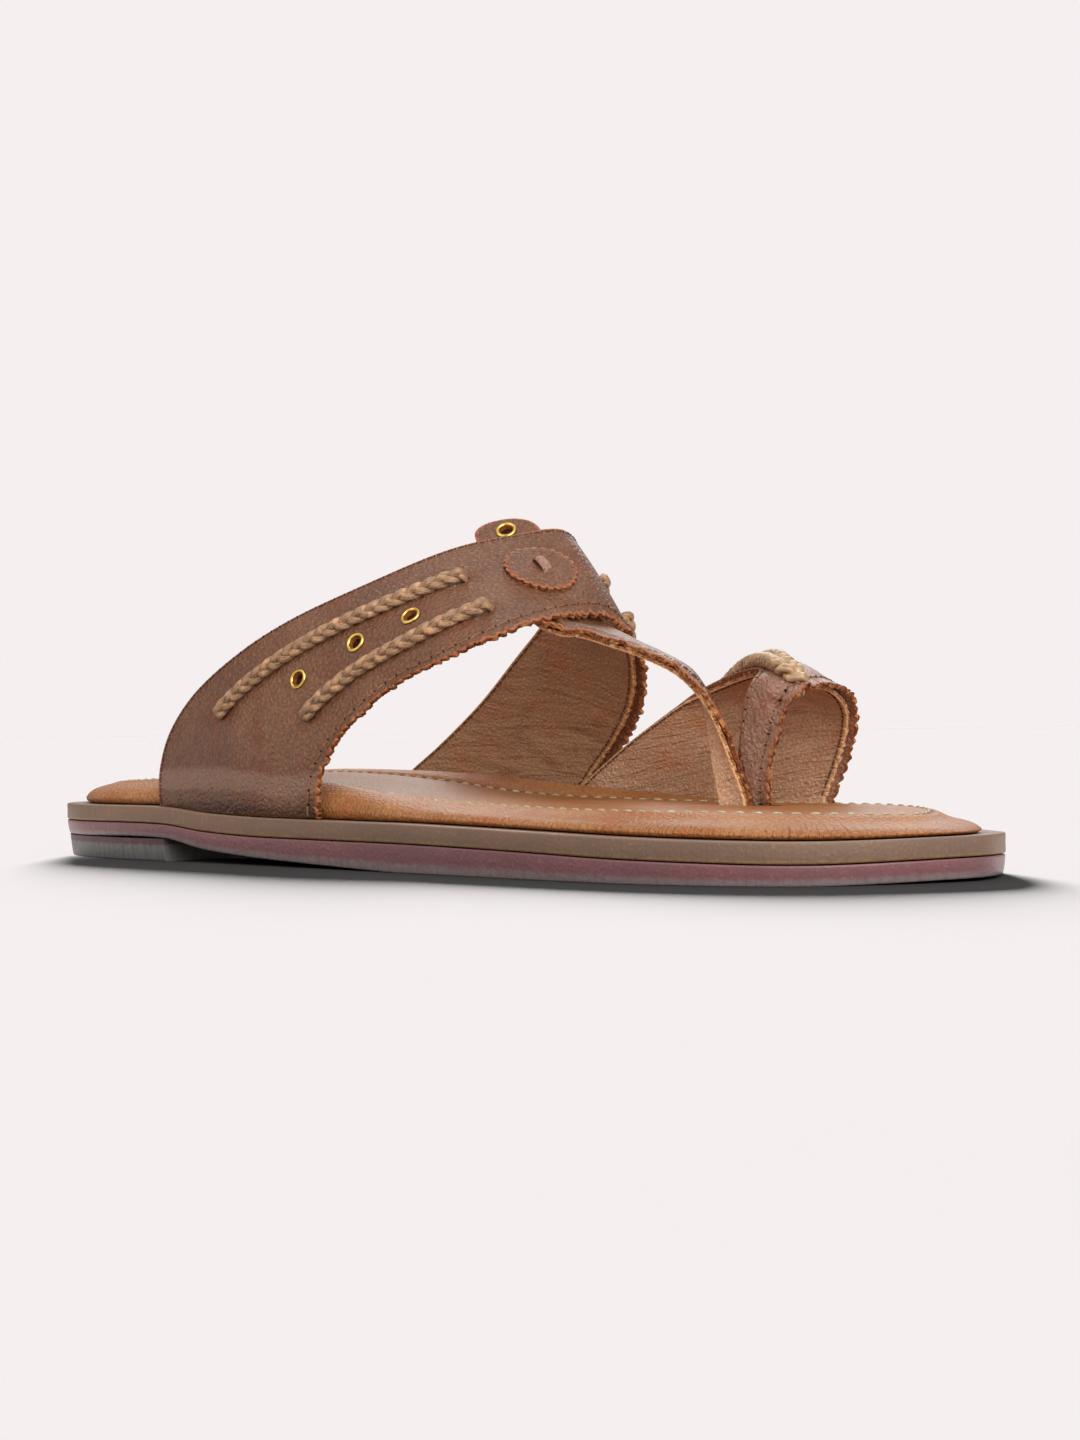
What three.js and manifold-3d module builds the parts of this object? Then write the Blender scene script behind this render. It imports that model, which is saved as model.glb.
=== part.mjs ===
// Toe ring sandal, right foot: leather upper with toe ring on a padded footbed and a stacked sole.
// Millimetres, +X to the toe, +Y to the inner side of the foot, +Z up. The tables below measure
// X from the back of the heel, Y from the heel's middle line and Z from the floor.
import * as THREE from "three";
import Module from "manifold-3d";

const wasm = await Module();
wasm.setup();

// Driving dimensions
const LENGTH = 298;
const FIT_GAP = 0.3;
const SOLE_STEPS = 36;
const UPPER_WALL = 2.4;
const HEEL_LIFT = 6.2;
const HEEL_BREAST = 69;
const FOOTBED_INSET = 5.3;
const FOOTBED_ROLL = 11;
const CORD_DIAMETER = 3;
const EYELET = { flange: 5.4, hole: 2.8, barrel: 3.6, depth: 1.2, rim: 0.9, clearance: 0.4 };
const DISC = { at: 0.501, across: 0.5, diameter: 17, thickness: 1.2, teeth: 22, tooth: 0.35 };
const TAB = {
  at: 0.5,
  width: 16,
  reach: 7.8,
  root: 4,
  thickness: 2,
  eyelet: -0.08,
  droop: 3,
  seat: 0.6,
};
const BRAID = { width: 7.4, thickness: 1.8, relief: 0.7, pitch: 8 };
const SLOT = { rear: 219.4, front: 237, lateral: 6.6, medial: 13.4 };

// Facets: steps along each strap and columns across it, and sides of the round parts
const STRAP_FACETS = { band: [42, 5], toeStrap: [27, 3], toeRing: [40, 6] };
const HEEL_STEPS = 20;
const TAB_POINTS = 28;
const PUNCH_SIDES = 16;
const EYELET_SIDES = 12;
const PLATE_RING = 0.55;

// Outline of the sole: half widths to each side of the middle line at each station
const OUTLINE = [
  { at: 0, outer: 0, inner: 0 },
  { at: 4, outer: 13.5, inner: 13 },
  { at: 12, outer: 23.5, inner: 23 },
  { at: 25, outer: 31, inner: 30 },
  { at: 45, outer: 35.5, inner: 34 },
  { at: 68, outer: 37, inner: 34 },
  { at: 100, outer: 38.5, inner: 32 },
  { at: 130, outer: 41, inner: 32.5 },
  { at: 160, outer: 44, inner: 36 },
  { at: 190, outer: 47, inner: 43 },
  { at: 215, outer: 49.5, inner: 48.5 },
  { at: 235, outer: 50.5, inner: 50 },
  { at: 250, outer: 49, inner: 49 },
  { at: 262, outer: 46, inner: 46 },
  { at: 272, outer: 41, inner: 41.5 },
  { at: 281, outer: 33.5, inner: 34.5 },
  { at: 288, outer: 24, inner: 26.5 },
  { at: 294, outer: 12.5, inner: 16 },
  { at: LENGTH, outer: -2, inner: 2 },
];

// Heights along the sole: tread, joint of outsole and welt, and welt top
const HEIGHTS = [
  { at: 0, tread: HEEL_LIFT, joint: 10.1, welt: 14.5 },
  { at: 30, tread: HEEL_LIFT, joint: 10.1, welt: 14.5 },
  { at: 69, tread: HEEL_LIFT, joint: 9.9, welt: 14.4 },
  { at: 86, tread: 3.6, joint: 8.3, welt: 13.1 },
  { at: 106, tread: 2.1, joint: 7.4, welt: 12.3 },
  { at: 127, tread: 1.2, joint: 7.2, welt: 12 },
  { at: 147, tread: 0.5, joint: 7.1, welt: 11.8 },
  { at: 165, tread: 0, joint: 7, welt: 11.7 },
  { at: 205, tread: 0, joint: 6.3, welt: 10.9 },
  { at: 234, tread: 0, joint: 5.5, welt: 10.2 },
  { at: 257, tread: 0, joint: 5, welt: 9.7 },
  { at: 280, tread: 0, joint: 4.6, welt: 9.4 },
  { at: LENGTH, tread: 0.8, joint: 5.4, welt: 10 },
];

// Heights of the footbed: its middle, and the roll round its rim on the outer and the inner side
const FOOTBED = [
  { at: 0, bed: 20.3, outer: 19.3, inner: 19.3 },
  { at: 30, bed: 20.9, outer: 19.6, inner: 20 },
  { at: 69, bed: 22.4, outer: 20.8, inner: 23.2 },
  { at: 86, bed: 22.8, outer: 21.8, inner: 23.4 },
  { at: 106, bed: 22.1, outer: 22.2, inner: 23.1 },
  { at: 127, bed: 20.3, outer: 20.8, inner: 22.4 },
  { at: 147, bed: 18, outer: 18, inner: 20.8 },
  { at: 165, bed: 16.8, outer: 16, inner: 19.1 },
  { at: 205, bed: 15.6, outer: 14.3, inner: 15.7 },
  { at: 234, bed: 15.4, outer: 13.7, inner: 13.9 },
  { at: 257, bed: 15.3, outer: 13.3, inner: 13.3 },
  { at: 280, bed: 14.5, outer: 12.6, inner: 12.6 },
  { at: LENGTH, bed: 12.8, outer: 11.6, inner: 11.6 },
];

// Instep band from its outer root over the crown to its inner root, along its outer face
const BAND = [
  { rear: [65.2, -34.6, 11], front: [130.6, -38.4, 8.5] },
  { rear: [65.3, -34.8, 17], front: [130.8, -38.8, 15] },
  { rear: [66.2, -35, 24.6], front: [132.2, -38.8, 22.8] },
  { rear: [70.1, -35, 33.7], front: [137, -38.2, 30.8] },
  { rear: [78.6, -34.1, 43.6], front: [144.6, -36.6, 38.2] },
  { rear: [94.6, -32.4, 54.2], front: [155, -33.4, 45.8] },
  { rear: [110, -29, 62.2], front: [166, -30.8, 50.6] },
  { rear: [128.4, -20.2, 70.8], front: [175.8, -27, 55] },
  { rear: [147.4, -7, 79.8], front: [182, -15.6, 59.8] },
  { rear: [159.6, 2, 83], front: [183.8, -2.6, 62] },
  { rear: [168.6, 11.5, 84.4], front: [184.6, 10, 62] },
  { rear: [165.5, 20.5, 80], front: [183.2, 20, 58.4] },
  { rear: [156.5, 27.8, 72], front: [181.4, 27.4, 53] },
  { rear: [145.4, 31.8, 63], front: [178.6, 32.4, 46.4] },
  { rear: [133, 34.4, 53.8], front: [174.4, 36, 39.2] },
  { rear: [118.5, 35.4, 41.4], front: [167.4, 37.6, 30.2] },
  { rear: [103.6, 34.2, 29.4], front: [160.4, 36.8, 21.6] },
  { rear: [90.6, 31.2, 18.6], front: [156.4, 34.4, 14] },
  { rear: [84.4, 30.2, 11], front: [155, 33, 8] },
];

// Toe strap from under the band's front edge down to the slot; it turns a quarter on the way
const TOE_STRAP = [
  { rear: [179, 12, 64.4], front: [178.5, -12.5, 63.4] },
  { rear: [185.2, 11, 59.4], front: [185.6, -10.4, 59.4] },
  { rear: [193.6, 9.4, 54.8], front: [194.8, -6, 55.8] },
  { rear: [202.4, 9.8, 51.2], front: [205, -1.8, 51.8] },
  { rear: [209.8, 11.4, 46.8], front: [214, 2.5, 46.6] },
  { rear: [214, 12, 40], front: [220.4, 5.2, 39] },
  { rear: [216.2, 11, 31.6], front: [223.8, 7, 31.2] },
  { rear: [218.2, 9.6, 23.4], front: [226.6, 8, 23.6] },
  { rear: [220.6, 8.7, 15.6], front: [229.6, 8.5, 15.6] },
  { rear: [220.8, 8.7, 8], front: [229.8, 8.5, 8] },
];

// Toe ring from the slot over the big toe and down as a wide panel to the inner edge of the sole.
// Crown is the height of its middle over the straight line between the two edges.
const TOE_RING = [
  { rear: [223.4, 11.6, 8], front: [235.1, 10.2, 8], crown: 0.5 },
  { rear: [223.5, 11.6, 16], front: [235.2, 10.2, 16], crown: 0.5 },
  { rear: [224.6, 11.6, 24], front: [235.9, 10, 24.5], crown: 0.6 },
  { rear: [225.6, 11.4, 33], front: [237.8, 10.2, 31.4], crown: 0.7 },
  { rear: [227, 11.4, 40.4], front: [239.6, 10.8, 37.2], crown: 1 },
  { rear: [228.2, 12.6, 44.2], front: [241, 13, 40.8], crown: 2 },
  { rear: [227, 16.4, 46], front: [240.6, 17.4, 41.8], crown: 2.4 },
  { rear: [223.3, 20.6, 46.8], front: [239.8, 22.4, 42.2], crown: 3.4 },
  { rear: [217.6, 25.4, 47], front: [239, 27.8, 42.4], crown: 4 },
  { rear: [209, 31, 46.4], front: [238.2, 33.2, 41.6], crown: 4.2 },
  { rear: [199, 35.4, 44.6], front: [237.2, 38.4, 39.6], crown: 4.2 },
  { rear: [187.5, 37.4, 41], front: [235.6, 42.6, 36.6], crown: 3.2 },
  { rear: [177.4, 36.6, 35.2], front: [233.2, 45.2, 31.4], crown: 2.4 },
  { rear: [168, 34.6, 28.6], front: [230.2, 46.2, 24.6], crown: 1.8 },
  { rear: [158, 32.6, 20.6], front: [227, 46.6, 18], crown: 1.8 },
  { rear: [151, 31, 13.4], front: [225.4, 46.3, 12.4], crown: 2 },
  { rear: [149, 30.6, 8.5], front: [225, 46.3, 7], crown: 2 },
];

// Round cords sewn on the band: where each starts and ends, in rows and widths of the band
const CORDS = [
  { name: "cord_outer_rear", from: [0.2, 0.27], to: [0.43, 0.38] },
  { name: "cord_outer_front", from: [0.208, 0.76], to: [0.423, 0.75] },
  { name: "cord_inner_rear", from: [0.82, 0.27], to: [0.62, 0.38] },
  { name: "cord_inner_front", from: [0.81, 0.76], to: [0.64, 0.75] },
];

// Route of the plait over the ring, in rows and widths of the ring
const BRAID_RUN = [
  { along: 0.37, across: 0.87 },
  { along: 0.35, across: 0.77 },
  { along: 0.345, across: 0.62 },
  { along: 0.365, across: 0.44 },
  { along: 0.405, across: 0.29 },
  { along: 0.46, across: 0.2 },
  { along: 0.53, across: 0.17 },
  { along: 0.61, across: 0.17 },
  { along: 0.69, across: 0.19 },
  { along: 0.77, across: 0.22 },
  { along: 0.85, across: 0.25 },
  { along: 0.93, across: 0.28 },
];

// Eyelets through the band
const BAND_EYELETS = [
  { name: "eyelet_outer_low", at: [0.258, 0.51] },
  { name: "eyelet_outer_mid", at: [0.327, 0.52] },
  { name: "eyelet_outer_top", at: [0.38, 0.53] },
  { name: "eyelet_inner_top", at: [0.67, 0.53] },
  { name: "eyelet_inner_mid", at: [0.722, 0.52] },
  { name: "eyelet_inner_low", at: [0.774, 0.51] },
];

// Colours and finishes
const LOOKS = {
  upper: { color: 0x70503a, roughness: 0.5, metalness: 0 },
  footbed: { color: 0xa9703f, roughness: 0.5, metalness: 0 },
  welt: { color: 0x8a6a4a, roughness: 0.6, metalness: 0 },
  outsole: { color: 0x74444a, roughness: 0.55, metalness: 0 },
  heel: { color: 0x5c5854, roughness: 0.8, metalness: 0 },
  cord: { color: 0x9a7245, roughness: 0.75, metalness: 0 },
  brass: { color: 0xd9a928, roughness: 0.25, metalness: 1 },
};

// Smooth reading of a table column at any station
function column(table, name) {
  return (x) => {
    const last = table.length - 1;
    const above = Math.min(last, Math.max(1, table.findIndex((row) => row.at >= x)));
    const row = x >= table[last].at ? last : above;
    const [a, b] = [table[row - 1], table[row]];
    const t = THREE.MathUtils.clamp((x - a.at) / (b.at - a.at), 0, 1);
    const before = table[Math.max(0, row - 2)];
    const after = table[Math.min(last, row + 1)];
    const span = b.at - a.at;
    const slopeA = ((b[name] - before[name]) / (b.at - before.at)) * span;
    const slopeB = ((after[name] - a[name]) / (after.at - a.at)) * span;
    const t2 = t * t;
    const t3 = t2 * t;
    const ends = a[name] * (2 * t3 - 3 * t2 + 1) + b[name] * (3 * t2 - 2 * t3);
    return ends + slopeA * (t3 - 2 * t2 + t) + slopeB * (t3 - t2);
  };
}

const treadRise = column(HEIGHTS, "tread");
const tread = (x) => Math.max(0, treadRise(x));
const joint = column(HEIGHTS, "joint");
const welt = column(HEIGHTS, "welt");
const bed = column(FOOTBED, "bed");
const outerRoll = column(FOOTBED, "outer");
const innerRoll = column(FOOTBED, "inner");

// Closed curve of the outline: heel back, outer side, toe, inner side
function outlineCurve() {
  const outerSide = OUTLINE.map((row) => new THREE.Vector3(row.at, -row.outer, 0));
  const innerSide = OUTLINE.slice(1, -1).map((row) => new THREE.Vector3(row.at, row.inner, 0));
  outerSide[outerSide.length - 1].y = (OUTLINE.at(-1).inner - OUTLINE.at(-1).outer) / 2;
  return new THREE.CatmullRomCurve3([...outerSide, ...innerSide.reverse()], true, "centripetal");
}
const outline = outlineCurve();

// A point of the outline moved inwards; share runs 0 to 1 along one side, side is -1 or +1
function rim(share, side, inset) {
  const t = side < 0 ? share / 2 : 1 - share / 2;
  const wrapped = ((t % 1) + 1) % 1;
  const point = outline.getPoint(wrapped);
  const along = outline.getTangent(wrapped);
  return new THREE.Vector2(point.x - along.y * inset, point.y + along.x * inset);
}

// Share of the outline at which its outer side reaches a station
function shareAt(x) {
  let low = 0;
  let high = 1;
  for (let step = 0; step < 40; step += 1) {
    const middle = (low + high) / 2;
    if (outline.getPoint(middle / 2).x < x) low = middle;
    else high = middle;
  }
  return low;
}

// A body with the sole's outline: rings of { inset, z } from its underside to its top
function soleLayer(rings, steps, endShare = 1) {
  const closedToe = endShare === 1;
  const vertices = [];
  const triangles = [];
  const loopLength = closedToe ? 2 * steps : 2 * steps + 1;
  for (const ring of rings) {
    const outerSide = [];
    const innerSide = [];
    for (let i = 0; i <= steps; i += 1) {
      const share = (i / steps) * endShare;
      outerSide.push(rim(share, -1, ring.inset));
      if (i > 0 && !(closedToe && i === steps)) innerSide.push(rim(share, 1, ring.inset));
    }
    const stop = ring.stop ?? Infinity;
    for (const point of [...outerSide, ...innerSide.reverse()]) {
      const x = Math.min(point.x, stop);
      vertices.push(x, point.y, ring.z(x, point.y));
    }
  }
  for (let ring = 0; ring + 1 < rings.length; ring += 1) {
    for (let i = 0; i < loopLength; i += 1) {
      const a = ring * loopLength + i;
      const b = ring * loopLength + ((i + 1) % loopLength);
      triangles.push(a, b, b + loopLength, a, b + loopLength, a + loopLength);
    }
  }
  const top = (rings.length - 1) * loopLength;
  for (let i = 0; i < steps; i += 1) {
    const innerNear = (loopLength - i) % loopLength;
    const innerFar = loopLength - i - 1;
    for (const [a, b, c] of [[i, i + 1, innerFar], [i, innerFar, innerNear]]) {
      if (a === b || b === c || a === c) continue;
      triangles.push(top + a, top + b, top + c, a, c, b);
    }
  }
  return asGeometry(vertices, triangles);
}

function asGeometry(vertices, triangles) {
  const geometry = new THREE.BufferGeometry();
  geometry.setAttribute("position", new THREE.Float32BufferAttribute(vertices, 3));
  geometry.setIndex(triangles);
  return geometry;
}

// Between a mesh and the solid that joins and cuts
function toSolid(geometry) {
  const vertProperties = Float32Array.from(geometry.attributes.position.array);
  const triVerts = Uint32Array.from(geometry.index.array);
  return new wasm.Manifold(new wasm.Mesh({ numProp: 3, vertProperties, triVerts }));
}

function fromSolid(solid) {
  const { vertProperties, triVerts } = solid.getMesh();
  return asGeometry(Array.from(vertProperties), Array.from(triVerts));
}

// A leather surface ruled between its two edge curves and crowned in its middle. Outside is the
// height of the leather's outer face over it, and droop its fall past the rear edge.
function leather(rows, { crown = 0, outside = 0, droop = 0 }) {
  const curve = (name) =>
    new THREE.CatmullRomCurve3(rows.map((row) => new THREE.Vector3(...row[name])));
  const rear = curve("rear");
  const front = curve("front");
  const flat = (u, v) => rear.getPoint(u).lerp(front.getPoint(u), v);
  const facing = (at, u, v) => {
    const step = 0.002;
    const [u0, u1] = [Math.max(0, u - step), Math.min(1, u + step)];
    const along = at(u1, v).sub(at(u0, v));
    const across = at(u, v + step).sub(at(u, v - step));
    return across.cross(along).normalize();
  };
  const crownAt = (u) => {
    const place = THREE.MathUtils.clamp(u, 0, 1) * (rows.length - 1);
    const row = Math.min(Math.floor(place), rows.length - 2);
    const share = THREE.MathUtils.smoothstep(place - row, 0, 1);
    return THREE.MathUtils.lerp(rows[row].crown ?? crown, rows[row + 1].crown ?? crown, share);
  };
  const point = (u, v) => {
    const within = v > 0 && v < 1;
    const rise = within ? crownAt(u) * Math.sin(Math.PI * v) : -droop * Math.max(0, -v);
    return flat(u, v).addScaledVector(facing(flat, u, v), rise);
  };
  const normal = (u, v) => facing(point, u, v);
  const raised = (u, v, height) => point(u, v).addScaledVector(normal(u, v), height);
  return { point, normal, raised, outside };
}

// A closed wall on a surface: low and high give its two faces at each place
function wallOn(steps, columns, low, high) {
  const vertices = [];
  const triangles = [];
  const rowLength = columns + 1;
  const faceLength = (steps + 1) * rowLength;
  for (const face of [high, low]) {
    for (let i = 0; i <= steps; i += 1) {
      for (let j = 0; j <= columns; j += 1) {
        vertices.push(...face(i / steps, j / columns).toArray());
      }
    }
  }
  const quad = (a, b, c, d) => triangles.push(a, b, c, a, c, d);
  for (let i = 0; i < steps; i += 1) {
    for (let j = 0; j < columns; j += 1) {
      const a = i * rowLength + j;
      quad(a, a + 1, a + 1 + rowLength, a + rowLength);
      const b = a + faceLength;
      quad(b, b + rowLength, b + 1 + rowLength, b + 1);
    }
    const first = i * rowLength;
    quad(first, first + rowLength, first + rowLength + faceLength, first + faceLength);
    const last = first + columns;
    quad(last, last + faceLength, last + rowLength + faceLength, last + rowLength);
  }
  const end = steps * rowLength;
  for (let j = 0; j < columns; j += 1) {
    quad(j, j + faceLength, j + 1 + faceLength, j + 1);
    quad(end + j, end + j + 1, end + j + 1 + faceLength, end + j + faceLength);
  }
  return asGeometry(vertices, triangles);
}

// A plate on a surface from an outline in millimetres along and across it
function plateOn(surface, u, v, shape, bottom, top) {
  const step = 0.01;
  const alongStep = surface.point(u + step, v).sub(surface.point(u - step, v)).length() / (2 * step);
  const acrossStep = surface.point(u, v + step).sub(surface.point(u, v - step)).length() / (2 * step);
  const place = ([along, across], height) =>
    surface.raised(u + along / alongStep, v + across / acrossStep, height);
  const count = shape.length;
  const faces = [top, bottom].map((height) => [
    place([0, 0], height),
    ...shape.map((at) => place(at.map((size) => size * PLATE_RING), height)),
    ...shape.map((at) => place(at, height)),
  ]);
  const vertices = faces.flat().flatMap((at) => at.toArray());
  const faceLength = 2 * count + 1;
  const triangles = [];
  for (let i = 0; i < count; i += 1) {
    const next = (i + 1) % count;
    const [a, b] = [1 + i, 1 + next];
    const [c, d] = [a + count, b + count];
    const topFace = [0, a, b, a, c, d, a, d, b];
    for (let k = 0; k < topFace.length; k += 3) {
      const [p, q, r] = topFace.slice(k, k + 3);
      triangles.push(p, r, q, p + faceLength, q + faceLength, r + faceLength);
    }
    triangles.push(c, d, d + faceLength, c, d + faceLength, c + faceLength);
  }
  return asGeometry(vertices, triangles);
}

const band = leather(BAND, { crown: 1 });
const toeStrap = leather(TOE_STRAP, { crown: 0.4, outside: UPPER_WALL / 2 });
const toeRing = leather(TOE_RING, { outside: UPPER_WALL / 2 });
const tabLeather = leather(BAND, { outside: -0.5, droop: TAB.droop });

function strapWall(surface, [steps, columns]) {
  const face = (height) => (u, v) => surface.raised(u, v, surface.outside + height);
  return toSolid(wallOn(steps, columns, face(-UPPER_WALL), face(0)));
}

// Outsole, heel block and welt
function outsole() {
  const low = (lift) => (x) => tread(x) + lift;
  const high = (drop) => (x) => joint(x) - drop;
  return soleLayer(
    [
      { inset: 0.9, z: low(0) },
      { inset: 0.6, z: low(0.4) },
      { inset: 0.1, z: high(0.5) },
      { inset: 0.3, z: high(FIT_GAP / 2) },
    ],
    SOLE_STEPS,
  );
}

function heelBlock() {
  const top = HEEL_LIFT - FIT_GAP;
  const level = (z) => () => z;
  return soleLayer(
    [
      { inset: 1.9, z: level(0), stop: HEEL_BREAST - 0.9 },
      { inset: 1.5, z: level(0.4), stop: HEEL_BREAST - 0.8 },
      { inset: 0.8, z: level(top), stop: HEEL_BREAST },
    ],
    HEEL_STEPS,
    shareAt(HEEL_BREAST),
  );
}

function midsole() {
  return soleLayer(
    [
      { inset: 0.3, z: (x) => joint(x) + FIT_GAP / 2 },
      { inset: 0, z: (x) => joint(x) + 0.5 },
      { inset: 0, z: (x) => welt(x) - 0.4 },
      { inset: 0.3, z: (x) => welt(x) },
    ],
    SOLE_STEPS,
  );
}

// Padded footbed: a roll round its rim, a sewn channel and a middle that rises to the arch
function rollHeight(x, y) {
  const inward = THREE.MathUtils.smoothstep(y, -FOOTBED_ROLL, FOOTBED_ROLL);
  return THREE.MathUtils.lerp(outerRoll(x), innerRoll(x), inward);
}

function footbed() {
  const base = (x) => welt(x) + FIT_GAP;
  const side = (share) => (x, y) => base(x) + (rollHeight(x, y) - base(x)) * share;
  const roll = (share, lift) => (x, y) => {
    return THREE.MathUtils.lerp(rollHeight(x, y), bed(x), share) + lift;
  };
  const inset = (more) => FOOTBED_INSET + more;
  const body = soleLayer(
    [
      { inset: inset(0.8), z: base },
      { inset: inset(0), z: side(0.26) },
      { inset: inset(0.6), z: side(0.48) },
      { inset: inset(2.2), z: side(0.76) },
      { inset: inset(FOOTBED_ROLL * 0.5), z: roll(0, 0) },
      { inset: inset(FOOTBED_ROLL * 0.85), z: roll(0.6, 0.2) },
      { inset: inset(FOOTBED_ROLL), z: roll(1, -0.7) },
      { inset: inset(FOOTBED_ROLL * 1.15), z: roll(1, -0.25) },
      { inset: inset(FOOTBED_ROLL * 1.6), z: roll(1, 0) },
    ],
    SOLE_STEPS,
  );
  return fromSolid(toSolid(body).subtract(slotCutter()));
}

// The slot that takes the toe strap and the near leg of the ring
function slotCutter() {
  const radius = (SLOT.medial - SLOT.lateral) / 2;
  const middle = SLOT.lateral + radius;
  const shape = new THREE.Shape();
  shape.absarc(SLOT.front - radius, middle, radius, -Math.PI / 2, Math.PI / 2, false);
  shape.absarc(SLOT.rear + radius, middle, radius, Math.PI / 2, (3 * Math.PI) / 2, false);
  const cutter = new THREE.ExtrudeGeometry(shape, { depth: 20, bevelEnabled: false, curveSegments: 6 });
  return toSolid(merged(cutter.translate(0, 0, 5)));
}

// A closed mesh with each corner kept once
function merged(geometry) {
  const seen = new Map();
  const vertices = [];
  const positions = geometry.attributes.position;
  const source = geometry.index ? Array.from(geometry.index.array) : [...Array(positions.count).keys()];
  const renumbered = source.map((index) => {
    const corner = [positions.getX(index), positions.getY(index), positions.getZ(index)];
    const key = corner.map((value) => value.toFixed(4)).join();
    if (!seen.has(key)) {
      seen.set(key, vertices.length / 3);
      vertices.push(...corner);
    }
    return seen.get(key);
  });
  const triangles = [];
  for (let k = 0; k < renumbered.length; k += 3) {
    const [a, b, c] = renumbered.slice(k, k + 3);
    if (a !== b && b !== c && a !== c) triangles.push(a, b, c);
  }
  return asGeometry(vertices, triangles);
}

// Everything below the welt's top, which trims the feet of the straps
function belowWelt() {
  const wide = -12;
  return toSolid(
    soleLayer(
      [
        { inset: wide, z: () => -5 },
        { inset: wide, z: (x) => welt(THREE.MathUtils.clamp(x, 0, LENGTH)) + FIT_GAP },
      ],
      SOLE_STEPS,
    ),
  );
}

// A round punch into a strap at a place on its surface
function punch(surface, u, v, depth) {
  const radius = EYELET.barrel / 2 + EYELET.clearance;
  const cylinder = new THREE.CylinderGeometry(radius, radius, 2 * depth, PUNCH_SIDES);
  const turn = new THREE.Quaternion();
  turn.setFromUnitVectors(new THREE.Vector3(0, 1, 0), surface.normal(u, v));
  const at = surface.raised(u, v, surface.outside);
  return toSolid(merged(cylinder.applyQuaternion(turn).translate(at.x, at.y, at.z)));
}

// Rounded tab that comes out from under the rear edge at the crown and leans back from it
function tabOutline() {
  const shape = [];
  for (let i = 0; i < TAB_POINTS; i += 1) {
    const turn = (i / TAB_POINTS) * 2 * Math.PI;
    const across = Math.sin(turn);
    const reach = across < 0 ? TAB.reach : TAB.root;
    const round = Math.sign(across) * Math.abs(across) ** 0.8;
    shape.push([(TAB.width / 2) * Math.cos(turn), reach * round]);
  }
  return shape;
}

// The band's eyelets sit in its outer leather alone, so its lining stays whole; the tab's goes through
function upper() {
  let solid = strapWall(band, STRAP_FACETS.band);
  solid = solid.add(strapWall(toeStrap, STRAP_FACETS.toeStrap));
  solid = solid.add(strapWall(toeRing, STRAP_FACETS.toeRing));
  const low = tabLeather.outside - TAB.thickness;
  const tab = plateOn(tabLeather, TAB.at, 0, tabOutline(), low, tabLeather.outside);
  solid = solid.add(toSolid(tab));
  solid = solid.subtract(belowWelt());
  for (const { at } of BAND_EYELETS) {
    solid = solid.subtract(punch(band, ...at, EYELET.depth + FIT_GAP));
  }
  solid = solid.subtract(punch(tabLeather, TAB.at, TAB.eyelet, TAB.thickness + FIT_GAP));
  return fromSolid(solid);
}

// Brass eyelet: a rounded flange on the leather and a barrel in it
function eyelet(surface, u, v, depth, seat) {
  const hole = EYELET.hole / 2;
  const barrel = EYELET.barrel / 2;
  const flange = EYELET.flange / 2;
  const profile = [
    [hole, -depth],
    [barrel, -depth],
    [barrel, seat],
    [flange, seat],
    [flange - 0.1, seat + EYELET.rim * 0.6],
    [(flange + hole) / 2, seat + EYELET.rim],
    [hole + 0.1, seat + EYELET.rim * 0.6],
    [hole, -depth],
  ];
  const points = profile.map(([r, z]) => new THREE.Vector2(r, z));
  const lathe = new THREE.LatheGeometry(points, EYELET_SIDES);
  const turn = new THREE.Quaternion();
  turn.setFromUnitVectors(new THREE.Vector3(0, 1, 0), surface.normal(u, v));
  const at = surface.raised(u, v, surface.outside);
  return merged(lathe.applyQuaternion(turn).translate(at.x, at.y, at.z));
}

// Round disc with a pinked rim, sewn to the band's crown by a short lace
function disc() {
  const count = 2 * DISC.teeth;
  const shape = [];
  for (let i = 0; i < count; i += 1) {
    const turn = (i / count) * 2 * Math.PI;
    const radius = DISC.diameter / 2 - (i % 2) * 2 * DISC.tooth;
    shape.push([radius * Math.cos(turn), radius * Math.sin(turn)]);
  }
  return plateOn(band, DISC.at, DISC.across, shape, FIT_GAP, FIT_GAP + DISC.thickness);
}

// Cord laid on the band; it sinks to the leather at both ends
function cord({ from, to }) {
  const steps = 16;
  const sides = 8;
  const radius = CORD_DIAMETER / 2;
  const vertices = [];
  const triangles = [];
  const place = (t) => [0, 1].map((k) => THREE.MathUtils.lerp(from[k], to[k], t));
  const thickness = (t) => {
    const end = Math.min(t, 1 - t) * steps;
    return end < 1 ? 0.45 + 0.55 * end : 1;
  };
  for (let i = 0; i <= steps; i += 1) {
    const t = i / steps;
    const round = radius * thickness(t);
    const [u, v] = place(t);
    const before = place(Math.max(0, t - 0.01));
    const after = place(Math.min(1, t + 0.01));
    const height = FIT_GAP + round;
    const centre = band.raised(u, v, height);
    const along = band.raised(...after, height).sub(band.raised(...before, height));
    const up = band.normal(u, v);
    const across = up.clone().cross(along).normalize();
    for (let k = 0; k < sides; k += 1) {
      const turn = ((k + 0.5) / sides) * 2 * Math.PI;
      const at = centre.clone().addScaledVector(across, round * Math.cos(turn));
      vertices.push(...at.addScaledVector(up, round * Math.sin(turn)).toArray());
    }
  }
  for (let i = 0; i < steps; i += 1) {
    for (let k = 0; k < sides; k += 1) {
      const next = (k + 1) % sides;
      const [a, b] = [i * sides + k, i * sides + next];
      triangles.push(a, b, b + sides, a, b + sides, a + sides);
    }
  }
  const end = steps * sides;
  for (let k = 1; k + 1 < sides; k += 1) {
    triangles.push(0, k + 1, k, end, end + k, end + k + 1);
  }
  return asGeometry(vertices, triangles);
}

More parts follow.
